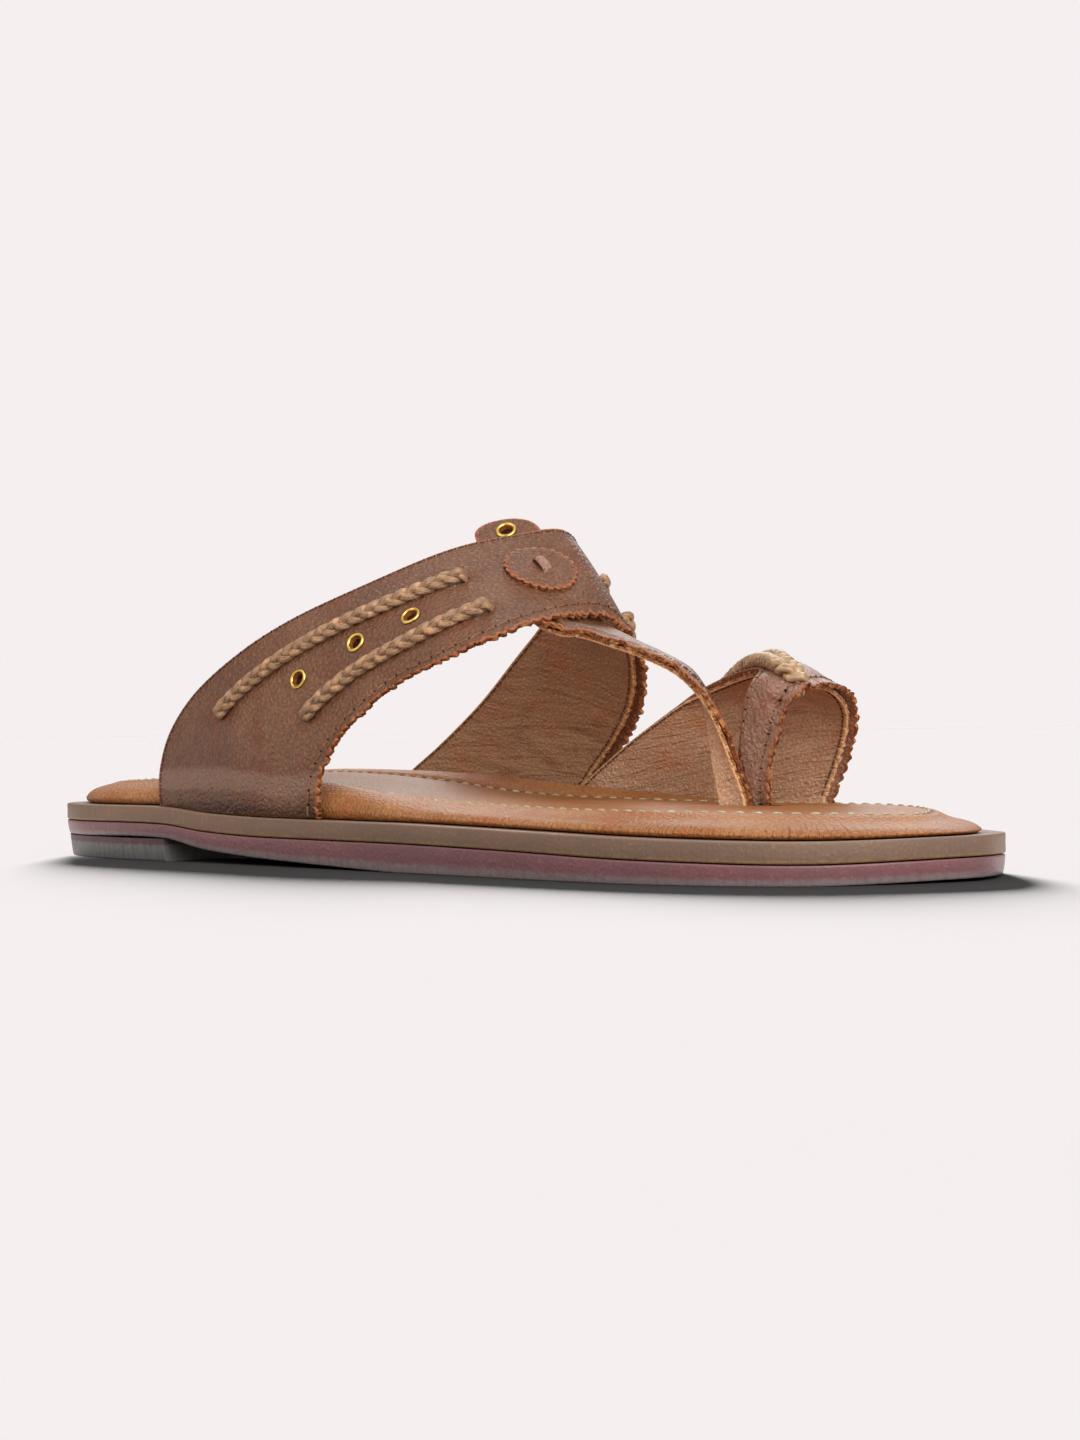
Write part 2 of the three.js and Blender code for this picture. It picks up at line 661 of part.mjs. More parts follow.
// Flat plait on the ring: one wall whose three strips rise and dip in turn
function braidPlace(t) {
  const place = t * (BRAID_RUN.length - 1);
  const row = Math.min(Math.floor(place), BRAID_RUN.length - 2);
  const share = place - row;
  const [a, b] = [BRAID_RUN[row], BRAID_RUN[row + 1]];
  return [THREE.MathUtils.lerp(a.along, b.along, share), THREE.MathUtils.lerp(a.across, b.across, share)];
}

function toeBraid() {
  const steps = 48;
  const columns = 5;
  const seat = toeRing.outside + 1.5 * FIT_GAP;
  const middle = Array.from({ length: steps + 1 }, (_, i) => toeRing.point(...braidPlace(i / steps)));
  const distance = [0];
  for (let i = 1; i <= steps; i += 1) {
    distance.push(distance[i - 1] + middle[i].distanceTo(middle[i - 1]));
  }
  const spot = (t, w, height) => {
    const i = Math.round(t * steps);
    const [u, v] = braidPlace(t);
    const up = toeRing.normal(u, v);
    const along = middle[Math.min(steps, i + 1)].clone().sub(middle[Math.max(0, i - 1)]);
    const across = along.cross(up).normalize();
    const offset = (w - 0.5) * BRAID.width;
    return toeRing.raised(...nearestPlace([u, v], across, offset), height);
  };
  const relief = (t, w) => {
    const run = distance[Math.round(t * steps)] / BRAID.pitch;
    const weave = Math.cos(2 * Math.PI * (run + Math.abs(w - 0.5) * 1.2));
    return BRAID.relief * (0.5 + 0.5 * weave) * Math.sin(Math.PI * (0.15 + 0.7 * w));
  };
  const low = (t, w) => spot(t, w, seat);
  const high = (t, w) => spot(t, w, seat + BRAID.thickness - BRAID.relief + relief(t, w));
  return wallOn(steps, columns, low, high);
}

// The place on the ring's surface that lies a distance off to one side of another
function nearestPlace([u, v], across, offset) {
  const step = 0.004;
  const along = toeRing.point(u + step, v).sub(toeRing.point(u - step, v)).divideScalar(2 * step);
  const width = toeRing.point(u, v + step).sub(toeRing.point(u, v - step)).divideScalar(2 * step);
  const target = across.clone().multiplyScalar(offset);
  const [aa, ab, bb] = [along.dot(along), along.dot(width), width.dot(width)];
  const [ta, tb] = [target.dot(along), target.dot(width)];
  const scale = aa * bb - ab * ab;
  return [u + (ta * bb - tb * ab) / scale, v + (tb * aa - ta * ab) / scale];
}

function finish(look) {
  return new THREE.MeshStandardMaterial({ ...look, flatShading: false });
}

function piece(name, geometry, look) {
  geometry.computeVertexNormals();
  const mesh = new THREE.Mesh(geometry, finish(look));
  mesh.name = name;
  return mesh;
}

const sandal = new THREE.Group();
sandal.name = "toe_ring_sandal";
sandal.add(piece("outsole", outsole(), LOOKS.outsole));
sandal.add(piece("heel_block", heelBlock(), LOOKS.heel));
sandal.add(piece("midsole", midsole(), LOOKS.welt));
sandal.add(piece("footbed", footbed(), LOOKS.footbed));
sandal.add(piece("upper", upper(), LOOKS.upper));
sandal.add(piece("toe_braid", toeBraid(), LOOKS.cord));
sandal.add(piece("disc", disc(), LOOKS.upper));
for (const row of CORDS) sandal.add(piece(row.name, cord(row), LOOKS.cord));
for (const { name, at } of BAND_EYELETS) {
  sandal.add(piece(name, eyelet(band, ...at, EYELET.depth, FIT_GAP), LOOKS.brass));
}
const tabEyelet = eyelet(tabLeather, TAB.at, TAB.eyelet, TAB.thickness, TAB.seat);
sandal.add(piece("eyelet_tab", tabEyelet, LOOKS.brass));

// The origin lies on the floor under the middle of the whole sandal
const box = new THREE.Box3().setFromObject(sandal, true);
const middle = box.getCenter(new THREE.Vector3());
sandal.position.set(-middle.x, -middle.y, -box.min.z);
sandal.updateMatrixWorld(true);

export default sandal;
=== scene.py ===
"""Toe ring sandal, right foot: leather, cord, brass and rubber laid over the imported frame."""
import math
import random

import bmesh
import bpy
import numpy as np
from bpy.props import FloatProperty, FloatVectorProperty, PointerProperty
from mathutils import Matrix, Vector


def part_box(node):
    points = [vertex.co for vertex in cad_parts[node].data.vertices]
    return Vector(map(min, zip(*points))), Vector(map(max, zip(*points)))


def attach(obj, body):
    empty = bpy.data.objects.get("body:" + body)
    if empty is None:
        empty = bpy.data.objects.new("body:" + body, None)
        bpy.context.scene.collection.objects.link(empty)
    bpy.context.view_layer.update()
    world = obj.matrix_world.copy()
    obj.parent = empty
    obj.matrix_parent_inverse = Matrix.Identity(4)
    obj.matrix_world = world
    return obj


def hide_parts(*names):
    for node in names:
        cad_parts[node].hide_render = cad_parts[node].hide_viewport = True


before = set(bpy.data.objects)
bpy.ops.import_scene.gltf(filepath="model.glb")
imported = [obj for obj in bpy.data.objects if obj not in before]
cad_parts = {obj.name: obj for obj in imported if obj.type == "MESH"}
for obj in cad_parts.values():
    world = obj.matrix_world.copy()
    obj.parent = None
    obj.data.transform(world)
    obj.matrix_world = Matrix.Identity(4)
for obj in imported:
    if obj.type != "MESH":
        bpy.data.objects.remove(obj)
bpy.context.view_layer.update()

bl_info = {
    "name": "Toe ring sandal",
    "version": (1, 0, 0),
    "blender": (4, 5, 0),
    "location": "3D View > Sidebar > Sandal",
    "description": "Builds the leather, cords, stitches and sole of a toe ring sandal",
    "category": "Add Mesh",
}

MM = 0.001

# Outline of the sole: station, half width to the outer side, half width to the inner side
OUTLINE = np.array([
    (0, 0, 0), (4, 13.5, 13), (12, 23.5, 23), (25, 31, 30), (45, 35.5, 34), (68, 37, 34),
    (100, 38.5, 32), (130, 41, 32.5), (160, 44, 36), (190, 47, 43), (215, 49.5, 48.5),
    (235, 50.5, 50), (250, 49, 49), (262, 46, 46), (272, 41, 41.5), (281, 33.5, 34.5),
    (288, 24, 26.5), (294, 12.5, 16), (298, -2, 2),
])

# Heights: station, tread, joint of outsole and welt, welt top
HEIGHTS = np.array([
    (0, 6.2, 10.1, 14.5), (30, 6.2, 10.1, 14.5), (69, 6.2, 9.9, 14.4), (86, 3.6, 8.3, 13.1),
    (106, 2.1, 7.4, 12.3), (127, 1.2, 7.2, 12), (147, 0.5, 7.1, 11.8), (165, 0, 7, 11.7),
    (205, 0, 6.3, 10.9), (234, 0, 5.5, 10.2), (257, 0, 5, 9.7), (280, 0, 4.6, 9.4),
    (298, 0.8, 5.4, 10),
])

# Heights of the footbed: station, its middle, its roll on the outer side and on the inner side
FOOTBED = np.array([
    (0, 20.3, 19.3, 19.3), (30, 20.9, 19.6, 20), (69, 22.4, 20.8, 23.2), (86, 22.8, 21.8, 23.4),
    (106, 22.1, 22.2, 23.1), (127, 20.3, 20.8, 22.4), (147, 18, 18, 20.8), (165, 16.8, 16, 19.1),
    (205, 15.6, 14.3, 15.7), (234, 15.4, 13.7, 13.9), (257, 15.3, 13.3, 13.3),
    (280, 14.5, 12.6, 12.6), (298, 12.8, 11.6, 11.6),
])

# Instep band along its outer face, outer root to inner root: rear edge, front edge
BAND = np.array([
    (65.2, -34.6, 11, 130.6, -38.4, 8.5), (65.3, -34.8, 17, 130.8, -38.8, 15),
    (66.2, -35, 24.6, 132.2, -38.8, 22.8), (70.1, -35, 33.7, 137, -38.2, 30.8),
    (78.6, -34.1, 43.6, 144.6, -36.6, 38.2), (94.6, -32.4, 54.2, 155, -33.4, 45.8),
    (110, -29, 62.2, 166, -30.8, 50.6), (128.4, -20.2, 70.8, 175.8, -27, 55),
    (147.4, -7, 79.8, 182, -15.6, 59.8), (159.6, 2, 83, 183.8, -2.6, 62),
    (168.6, 11.5, 84.4, 184.6, 10, 62), (165.5, 20.5, 80, 183.2, 20, 58.4),
    (156.5, 27.8, 72, 181.4, 27.4, 53), (145.4, 31.8, 63, 178.6, 32.4, 46.4),
    (133, 34.4, 53.8, 174.4, 36, 39.2), (118.5, 35.4, 41.4, 167.4, 37.6, 30.2),
    (103.6, 34.2, 29.4, 160.4, 36.8, 21.6), (90.6, 31.2, 18.6, 156.4, 34.4, 14),
    (84.4, 30.2, 11, 155, 33, 8),
])

# Toe strap from under the band down to the slot: rear edge, front edge
TOE_STRAP = np.array([
    (179, 12, 64.4, 178.5, -12.5, 63.4), (185.2, 11, 59.4, 185.6, -10.4, 59.4),
    (193.6, 9.4, 54.8, 194.8, -6, 55.8), (202.4, 9.8, 51.2, 205, -1.8, 51.8),
    (209.8, 11.4, 46.8, 214, 2.5, 46.6), (214, 12, 40, 220.4, 5.2, 39),
    (216.2, 11, 31.6, 223.8, 7, 31.2), (218.2, 9.6, 23.4, 226.6, 8, 23.6),
    (220.6, 8.7, 15.6, 229.6, 8.5, 15.6), (220.8, 8.7, 8, 229.8, 8.5, 8),
])

# Toe ring from the slot over the toe to the sole's inner edge: rear edge, front edge, crown
TOE_RING = np.array([
    (223.4, 11.6, 8, 235.1, 10.2, 8, 0.5), (223.5, 11.6, 16, 235.2, 10.2, 16, 0.5),
    (224.6, 11.6, 24, 235.9, 10, 24.5, 0.6), (225.6, 11.4, 33, 237.8, 10.2, 31.4, 0.7),
    (227, 11.4, 40.4, 239.6, 10.8, 37.2, 1), (228.2, 12.6, 44.2, 241, 13, 40.8, 2),
    (227, 16.4, 46, 240.6, 17.4, 41.8, 2.4), (223.3, 20.6, 46.8, 239.8, 22.4, 42.2, 3.4),
    (217.6, 25.4, 47, 239, 27.8, 42.4, 4), (209, 31, 46.4, 238.2, 33.2, 41.6, 4.2),
    (199, 35.4, 44.6, 237.2, 38.4, 39.6, 4.2), (187.5, 37.4, 41, 235.6, 42.6, 36.6, 3.2),
    (177.4, 36.6, 35.2, 233.2, 45.2, 31.4, 2.4), (168, 34.6, 28.6, 230.2, 46.2, 24.6, 1.8),
    (158, 32.6, 20.6, 227, 46.6, 18, 1.8), (151, 31, 13.4, 225.4, 46.3, 12.4, 2),
    (149, 30.6, 8.5, 225, 46.3, 7, 2),
])

# Cords on the band: name, where each goes in and comes out, in rows and widths of the band
CORDS = (
    ("cord_outer_rear", (0.2, 0.27), (0.43, 0.38)),
    ("cord_outer_front", (0.208, 0.76), (0.423, 0.75)),
    ("cord_inner_rear", (0.82, 0.27), (0.62, 0.38)),
    ("cord_inner_front", (0.81, 0.76), (0.64, 0.75)),
)

# Eyelets through the band: name, row and width
EYELETS = (
    ("eyelet_outer_low", 0.258, 0.51), ("eyelet_outer_mid", 0.327, 0.52),
    ("eyelet_outer_top", 0.38, 0.53), ("eyelet_inner_top", 0.67, 0.53),
    ("eyelet_inner_mid", 0.722, 0.52), ("eyelet_inner_low", 0.774, 0.51),
)

# Route of the plait over the ring, in rows and widths of the ring
PLAIT_RUN = np.array([
    (0.37, 0.87), (0.35, 0.77), (0.345, 0.62), (0.365, 0.44), (0.405, 0.29), (0.46, 0.2),
    (0.53, 0.17), (0.61, 0.17), (0.69, 0.19), (0.77, 0.22), (0.85, 0.25), (0.93, 0.28),
])

# Side profiles of the sole's layers, from bottom to top: inset, share of the height, lift
OUTSOLE_PROFILE = (
    (0.9, 0, 0), (0.72, 0, 0.12), (0.6, 0, 0.4), (0.4, 0.3, 0),
    (0.25, 0.6, 0), (0.12, 1, -0.5), (0.14, 1, -0.12), (0.3, 1, 0),
)
WELT_PROFILE = (
    (0.3, 0, 0), (0.08, 0, 0.12), (0, 0, 0.45), (0.04, 0.5, 0),
    (0, 1, -0.45), (0.08, 1, -0.12), (0.3, 1, 0),
)
HEEL_PROFILE = (
    (1.9, 0, 0), (1.65, 0, 0.12), (1.5, 0, 0.4), (1.15, 0.5, 0), (0.84, 0.95, 0), (0.8, 1, 0),
)

# Footbed from its rim inwards: distance in, climb up the side, mix to the middle, lift
PAD_PROFILE = np.array([
    (0.8, 0, 0, 0), (0.2, 0.12, 0, 0), (0, 0.26, 0, 0), (0.6, 0.48, 0, 0), (2.2, 0.76, 0, 0),
    (5.5, 1, 0, 0), (7.6, 1, 0.3, 0.15), (9.3, 1, 0.64, 0.25), (10.2, 1, 0.84, 0.1),
    (10.7, 1, 0.94, -0.3), (11, 1, 1, -0.6), (11.35, 1, 1, -0.4), (12.2, 1, 1, -0.2),
    (13.8, 1, 1, -0.05), (17.6, 1, 1, 0),
])

# Gap between the sole's layers, height of the heel lift and station of its front face
FIT_GAP = 0.3
HEEL_LIFT = 6.2
HEEL_BREAST = 69.0

# Footbed: inset from the outline, width of its roll, how far in its sewn channel lies,
# and its slot's rear, front, outer side and inner side
FOOTBED_INSET = 5.3
FOOTBED_ROLL = 11.0
CHANNEL = 10.95
SLOT = (219.4, 237.0, 6.6, 13.4)

# Leather: thickness of the outer layer and of both layers, holes for eyelets and needle
OUTER_LEATHER = 1.25
WALL = 2.4
EYELET_HOLE = 3.5
NEEDLE = 0.42

# Stitches: where the marks of one lie along its length, how high it stands there, how thick
# it is as a share, and the lower and upper end of a needle hole
STITCH_MARKS = np.array([0, 0.12, 0.35, 0.65, 0.88, 1.0])
STITCH_BOW = 0.1 * np.array([-2.6, 0.3, 1, 1, 0.3, -2.6])
STITCH_THICKNESS = np.array([0.7, 1, 1, 1, 1, 0.7])
HOLE_REACH = np.array([-0.4, 0.04])

# Toe strap: how far it drops under the band, the row from which it lies clear of it, and
# the rows over which it rises
STRAP_TUCK = 2.0
STRAP_CLEAR = 0.24
STRAP_RAMP = 0.15

# Straps where they enter the sole: depth of the tuck, height from which it fades, and fade
TUCK_DEPTH = 1.1
TUCK_FROM = 12.2
TUCK_REACH = 2.6

# Dimples in the band where a cord goes in: depth and half width
DIMPLE_DEPTH = 0.9
DIMPLE_REACH = 1.9

# Edges: how far in a pinked edge curls, how far its teeth stand out, rounding of a cut,
# how far the lining stops short of the rear edge, and the glue between the layers
CURL_REACH = 1.6
OVERHANG = 0.35
EDGE_ROUND = 0.35
LINING_BACK = 0.25
GLUE_LINE = 0.06

# Places in rows and widths of the band: disc, tab and the tab's eyelet
DISC_AT = (0.501, 0.5)
TAB_AT = 0.5
TAB_EYELET = -0.08

# Camera fitted to the photograph, in the tables' millimetres
CAMERA_PLACE = (604.70754, -481.90909, 33.43513)
CAMERA_AZIMUTH = 42.0
CAMERA_PITCH = -0.24371
CAMERA_ROLL = 0.58194
CAMERA_FOCUS = 2609.136
IMAGE_LONG_SIDE = 1440
SENSOR = 36.0


# Curves and surfaces
def column(table, index):
    """Smooth reading of a table column at any stations."""
    at, value = table[:, 0], table[:, index]
    low = np.maximum(np.arange(len(at)) - 1, 0)
    high = np.minimum(np.arange(len(at)) + 1, len(at) - 1)
    slope = (value[high] - value[low]) / (at[high] - at[low])

    def read(x):
        x = np.clip(np.asarray(x, float), at[0], at[-1])
        row = np.clip(np.searchsorted(at, x), 1, len(at) - 1)
        span = at[row] - at[row - 1]
        t = (x - at[row - 1]) / span
        ends = value[row - 1] * (2 * t**3 - 3 * t**2 + 1) + value[row] * (3 * t**2 - 2 * t**3)
        bend = slope[row - 1] * (t**3 - 2 * t**2 + t) + slope[row] * (t**3 - t**2)
        return ends + bend * span

    return read


tread_rise = column(HEIGHTS, 1)
joint = column(HEIGHTS, 2)
welt = column(HEIGHTS, 3)
bed = column(FOOTBED, 1)
outer_roll = column(FOOTBED, 2)
inner_roll = column(FOOTBED, 3)


def tread(x):
    """Height of the tread over the floor."""
    return np.maximum(0, tread_rise(x))


class Curve:
    """Smooth centripetal curve through points, the same as in the part's source."""

    def __init__(self, points, closed=False):
        points = np.asarray(points, float)
        if closed:
            whole = np.vstack([points[-1], points, points[0], points[1]])
        else:
            first = 2 * points[0] - points[1]
            last = 2 * points[-1] - points[-2]
            whole = np.vstack([first, points, last])
        a, b, c, d = whole[:-3], whole[1:-2], whole[2:-1], whole[3:]
        gap = [np.sqrt(np.linalg.norm(q - p, axis=1))[:, None] for p, q in ((a, b), (b, c), (c, d))]
        start = (b - a) / gap[0] - (c - a) / (gap[0] + gap[1]) + (c - b) / gap[1]
        stop = (c - b) / gap[1] - (d - b) / (gap[1] + gap[2]) + (d - c) / gap[2]
        start, stop = start * gap[1], stop * gap[1]
        self.terms = (b, start, -3 * b + 3 * c - 2 * start - stop, 2 * b - 2 * c + start + stop)
        self.closed = closed
        self.count = len(b)

    def at(self, t):
        """Points at shares t of the curve."""
        place = np.asarray(t, float) % 1 if self.closed else np.clip(t, 0, 1)
        place = place * self.count
        row = np.minimum(place.astype(int), self.count - 1)
        w = (place - row)[..., None]
        c0, c1, c2, c3 = (term[row] for term in self.terms)
        return c0 + w * (c1 + w * (c2 + w * c3))

    def tangent(self, t):
        """Directions along the curve at shares t."""
        step = 1e-4
        ahead = self.at(np.asarray(t) + step) - self.at(np.asarray(t) - step)
        return unit(ahead)


def unit(vectors):
    """Vectors scaled to length one."""
    return vectors / np.maximum(np.linalg.norm(vectors, axis=-1, keepdims=True), 1e-9)


def distances(line):
    """How far each point of a line lies from its start, measured along the line."""
    return np.concatenate([[0], np.cumsum(np.linalg.norm(np.diff(line, axis=0), axis=1))])


def sole_outline():
    """Closed curve of the outline: heel back, outer side, toe, inner side."""
    outer = np.stack([OUTLINE[:, 0], -OUTLINE[:, 1], 0 * OUTLINE[:, 0]], 1)
    inner = np.stack([OUTLINE[1:-1, 0], OUTLINE[1:-1, 2], 0 * OUTLINE[1:-1, 0]], 1)
    outer[-1, 1] = (OUTLINE[-1, 2] - OUTLINE[-1, 1]) / 2
    return Curve(np.vstack([outer, inner[::-1]]), closed=True)


outline = sole_outline()


def rim(t, inset):
    """Points of the outline at shares t, moved inwards by inset."""
    point, along = outline.at(t), outline.tangent(t)
    return point[..., 0] - along[..., 1] * inset, point[..., 1] + along[..., 0] * inset


def part_shift():
    """Way from the tables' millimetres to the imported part, read off the midsole's corner."""
    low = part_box("midsole")[0] / MM
    share = np.concatenate([np.arange(37) / 72, 1 - np.arange(1, 36) / 72])
    x, y = rim(share, 0)
    return np.array([low.x - x.min(), low.y - y.min(), 0.0])


SHIFT = part_shift()


class Leather:
    """A surface ruled between two edge curves and crowned in its middle.

    Droop is how far it bends down for each width that it goes on past its rear edge.
    """

    def __init__(self, rows, crown=0.0, droop=0.0):
        self.rear, self.front = Curve(rows[:, 0:3]), Curve(rows[:, 3:6])
        self.crown = rows[:, 6] if rows.shape[1] > 6 else np.full(len(rows), float(crown))
        self.droop = droop

    def flat(self, u, v):
        """Points straight between the two edges, at rows u and widths v."""
        v = np.asarray(v, float)[..., None]
        return self.rear.at(u) * (1 - v) + self.front.at(u) * v

    def facing(self, at, u, v):
        """Directions square to the surface whose points at gives."""
        step = 0.002
        along = at(np.minimum(1, u + step), v) - at(np.maximum(0, u - step), v)
        across = at(u, v + step) - at(u, v - step)
        return unit(np.cross(across, along))

    def point(self, u, v):
        """Points of the crowned surface."""
        u, v = np.broadcast_arrays(np.asarray(u, float), np.asarray(v, float))
        place = np.clip(u, 0, 1) * (len(self.crown) - 1)
        row = np.minimum(place.astype(int), len(self.crown) - 2)
        share = place - row
        share = share * share * (3 - 2 * share)
        crown = self.crown[row] * (1 - share) + self.crown[row + 1] * share
        inside = (v > 0) & (v < 1)
        rise = np.where(inside, crown * np.sin(np.pi * v), -self.droop * np.maximum(0, -v))
        return self.flat(u, v) + self.facing(self.flat, u, v) * rise[..., None]

    def normal(self, u, v):
        """Directions square to the crowned surface."""
        return self.facing(self.point, np.asarray(u, float), np.asarray(v, float))

    def raised(self, u, v, height):
        """Points that stand off the surface by a height."""
        height = np.broadcast_to(np.asarray(height, float), np.broadcast(u, v).shape)
        u, v = np.broadcast_arrays(np.asarray(u, float), np.asarray(v, float))
        return self.point(u, v) + self.normal(u, v) * height[..., None]

    def width(self, u):
        """Straight widths from rear edge to front edge."""
        return np.linalg.norm(self.front.at(u) - self.rear.at(u), axis=-1)


band = Leather(BAND, crown=1.0)
toe_strap = Leather(TOE_STRAP, crown=0.4)
toe_ring = Leather(TOE_RING)
tab_leather = Leather(BAND, droop=3.0)


# Meshes: doubled corners are merged and flat slivers dissolved within these distances in
# metres; the edge field holds the distance in millimetres to a cut, far where there is none.
# On the footbed it holds the distance to the sewn channel, which is painted dark as shade.
MERGE_WITHIN = 0.00001
SLIVER = 0.000004
FAR_FROM_EDGE = 9.0


def new_piece(name, vertices, faces, materials, face_looks=None, fields=None, skin=None):
    """A mesh piece from the tables' millimetres, with its materials, fields and places."""
    mesh = bpy.data.meshes.new(name)
    mesh.from_pydata(((np.asarray(vertices) + SHIFT) * MM).tolist(), [], faces)
    piece = bpy.data.objects.new(name, mesh)
    bpy.context.scene.collection.objects.link(piece)
    for material in materials:
        mesh.materials.append(material)
    mesh.polygons.foreach_set("use_smooth", [True] * len(mesh.polygons))
    if face_looks is not None:
        mesh.polygons.foreach_set("material_index", face_looks)
    for field, values in (fields or {}).items():
        layer = mesh.attributes.new(field, "FLOAT", "POINT")
        layer.data.foreach_set("value", np.asarray(values, np.float32))
    if skin is not None:
        layer = mesh.uv_layers.new(name="skin")
        corners = np.zeros(len(mesh.loops), np.int32)
        mesh.loops.foreach_get("vertex_index", corners)
        layer.data.foreach_set("uv", np.asarray(skin, np.float32)[corners].ravel())
    return piece


def settle(piece, slot, *nodes, sharp=None):
    """Cleans the mesh, rides the piece on the part and hides the frame's parts it stands for."""
    work = bmesh.new()
    work.from_mesh(piece.data)
    bmesh.ops.remove_doubles(work, verts=work.verts, dist=MERGE_WITHIN)
    bmesh.ops.dissolve_degenerate(work, edges=work.edges, dist=SLIVER)
    bmesh.ops.recalc_face_normals(work, faces=work.faces)
    if sharp is not None:
        for edge in work.edges:
            if len(edge.link_faces) == 2 and edge.calc_face_angle(0) > math.radians(sharp):
                edge.smooth = False
    work.to_mesh(piece.data)
    work.free()
    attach(piece, "root")
    if nodes:
        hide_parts(*nodes)


def shell(name, surface, u, columns, high, low, materials):
    """A closed leather wall: columns(u) gives its widths, high and low its two faces."""
    v, edge = columns(u)
    rows, count = v.shape
    grid_u = np.repeat(u[:, None], count, 1)
    faces_at = []
    for height in (high, low):
        faces_at.append(surface.raised(grid_u, v, height(grid_u, v, edge)))
    vertices = np.concatenate([face.reshape(-1, 3) for face in faces_at])
    size = rows * count
    faces, looks = [], []
    for i in range(rows - 1):
        for j in range(count - 1):
            a = i * count + j
            faces.append((a, a + 1, a + 1 + count, a + count))
            faces.append((a + size, a + count + size, a + 1 + count + size, a + 1 + size))
            looks += [0, 0]
        for j in (0, count - 1):
            a = i * count + j
            faces.append((a, a + count, a + count + size, a + size))
            looks.append(1)
    for i in (0, rows - 1):
        for j in range(count - 1):
            a = i * count + j
            faces.append((a, a + 1, a + 1 + size, a + size))
            looks.append(1)
    run = distances(surface.point(u, 0.5 + 0 * u))
    across = v * surface.width(u)[:, None]
    skin = np.stack([np.repeat(run[:, None], count, 1), across], -1).reshape(-1, 2)
    fields = {"edge": np.tile(edge.ravel(), 2)}
    return new_piece(name, vertices, faces, materials, looks, fields, np.tile(skin, (2, 1)))


def tubes(name, paths, materials, sides=8, looks=None):
    """Joined closed tubes: each path has centres, two section axes and radii for each step."""
    vertices, faces, face_looks, skin = [], [], [], []
    for number, (centre, side, up, wide, high) in enumerate(paths):
        turn = (np.arange(sides) + 0.5) / sides * 2 * np.pi
        ring = (
            centre[:, None]
            + side[:, None] * (np.cos(turn)[None, :, None] * wide[:, None, None])
            + up[:, None] * (np.sin(turn)[None, :, None] * high[:, None, None])
        )
        base = sum(len(block) for block in vertices)
        steps = len(centre)
        vertices.append(ring.reshape(-1, 3))
        around = np.tile(turn / (2 * np.pi) * 10, steps)
        skin.append(np.stack([np.repeat(distances(centre), sides), around], 1))
        look = 0 if looks is None else looks[number]
        for i in range(steps - 1):
            for k in range(sides):
                a, b = base + i * sides + k, base + i * sides + (k + 1) % sides
                faces.append((a, b, b + sides, a + sides))
                face_looks.append(look)
        faces.append(tuple(base + k for k in range(sides))[::-1])
        faces.append(tuple(base + (steps - 1) * sides + k for k in range(sides)))
        face_looks += [look, look]
    corners = np.concatenate(vertices)
    uncut = {"edge": np.full(len(corners), FAR_FROM_EDGE)}
    return new_piece(name, corners, faces, materials, face_looks, uncut, np.concatenate(skin))


# Materials
def srgb(text):
    """An sRGB hex colour as linear RGB."""
    parts = [int(text[i:i + 2], 16) / 255 for i in (1, 3, 5)]
    return tuple(c / 12.92 if c <= 0.04045 else ((c + 0.055) / 1.055) ** 2.4 for c in parts)


def add(tree, kind, inputs=None, **settings):
    """Adds a shader node; inputs are plain values or the sockets that feed them."""
    made = tree.nodes.new("ShaderNode" + kind)
    for name, value in settings.items():
        setattr(made, name, value)
    for key, value in (inputs or {}).items():
        if isinstance(value, bpy.types.NodeSocket):
            tree.links.new(value, made.inputs[key])
        else:
            made.inputs[key].default_value = value
    return made


def start(name, **constants):
    """A new material with its tree, its shader and its places in millimetres."""
    material = bpy.data.materials.new(name)
    material.use_nodes = True
    tree = material.node_tree
    shader = tree.nodes["Principled BSDF"]
    for socket, value in constants.items():
        shader.inputs[socket.replace("_", " ")].default_value = value
    coordinates = add(tree, "TexCoord")
    scale = (1 / MM,) * 3
    place = add(tree, "VectorMath", {0: coordinates.outputs["Object"], 1: scale}, operation="MULTIPLY")
    return material, tree, shader, place.outputs[0], coordinates.outputs["UV"]


def rgba(colour):
    """A colour as four numbers, or the socket it already is."""
    return colour if isinstance(colour, bpy.types.NodeSocket) else (*tuple(colour)[:3], 1.0)


def dimmed(colour, share):
    """A colour made darker or lighter by a share."""
    return tuple(min(1.0, part * share) for part in colour)


def spots(tree, place, turn, sizes, detail=4.0, distortion=0.0):
    """An uneven pattern, turned by an angle, whose spots have real sizes in millimetres."""
    angle = {"Vector": place, "Angle": math.radians(turn)}
    turned = add(tree, "VectorRotate", angle, rotation_type="Z_AXIS").outputs[0]
    scale = tuple(1 / size for size in sizes)
    spot = add(tree, "VectorMath", {0: turned, 1: scale}, operation="MULTIPLY").outputs[0]
    inputs = {"Vector": spot, "Scale": 1.0, "Detail": detail, "Distortion": distortion}
    return add(tree, "TexNoise", inputs).outputs["Fac"]


def laid(tree, colour, tone, value, low, high, strength=1.0):
    """A tone laid over a colour, fully where the value has gone from low to high."""
    share = {0: value, 1: low, 2: high, 3: 0.0, 4: strength}
    amount = add(tree, "MapRange", share, interpolation_type="SMOOTHSTEP").outputs[0]
    return add(tree, "Mix", {0: amount, 6: rgba(colour), 7: rgba(tone)}, data_type="RGBA").outputs[2]


def between(tree, value, low, high, fade):
    """A share that is one between two values and fades out beyond them."""
    over = {0: value, 1: low - fade, 2: low}
    under = {0: value, 1: high + fade, 2: high}
    first = add(tree, "MapRange", over, interpolation_type="SMOOTHSTEP").outputs[0]
    second = add(tree, "MapRange", under, interpolation_type="SMOOTHSTEP").outputs[0]
    return add(tree, "Math", {0: first, 1: second}, operation="MULTIPLY").outputs[0]


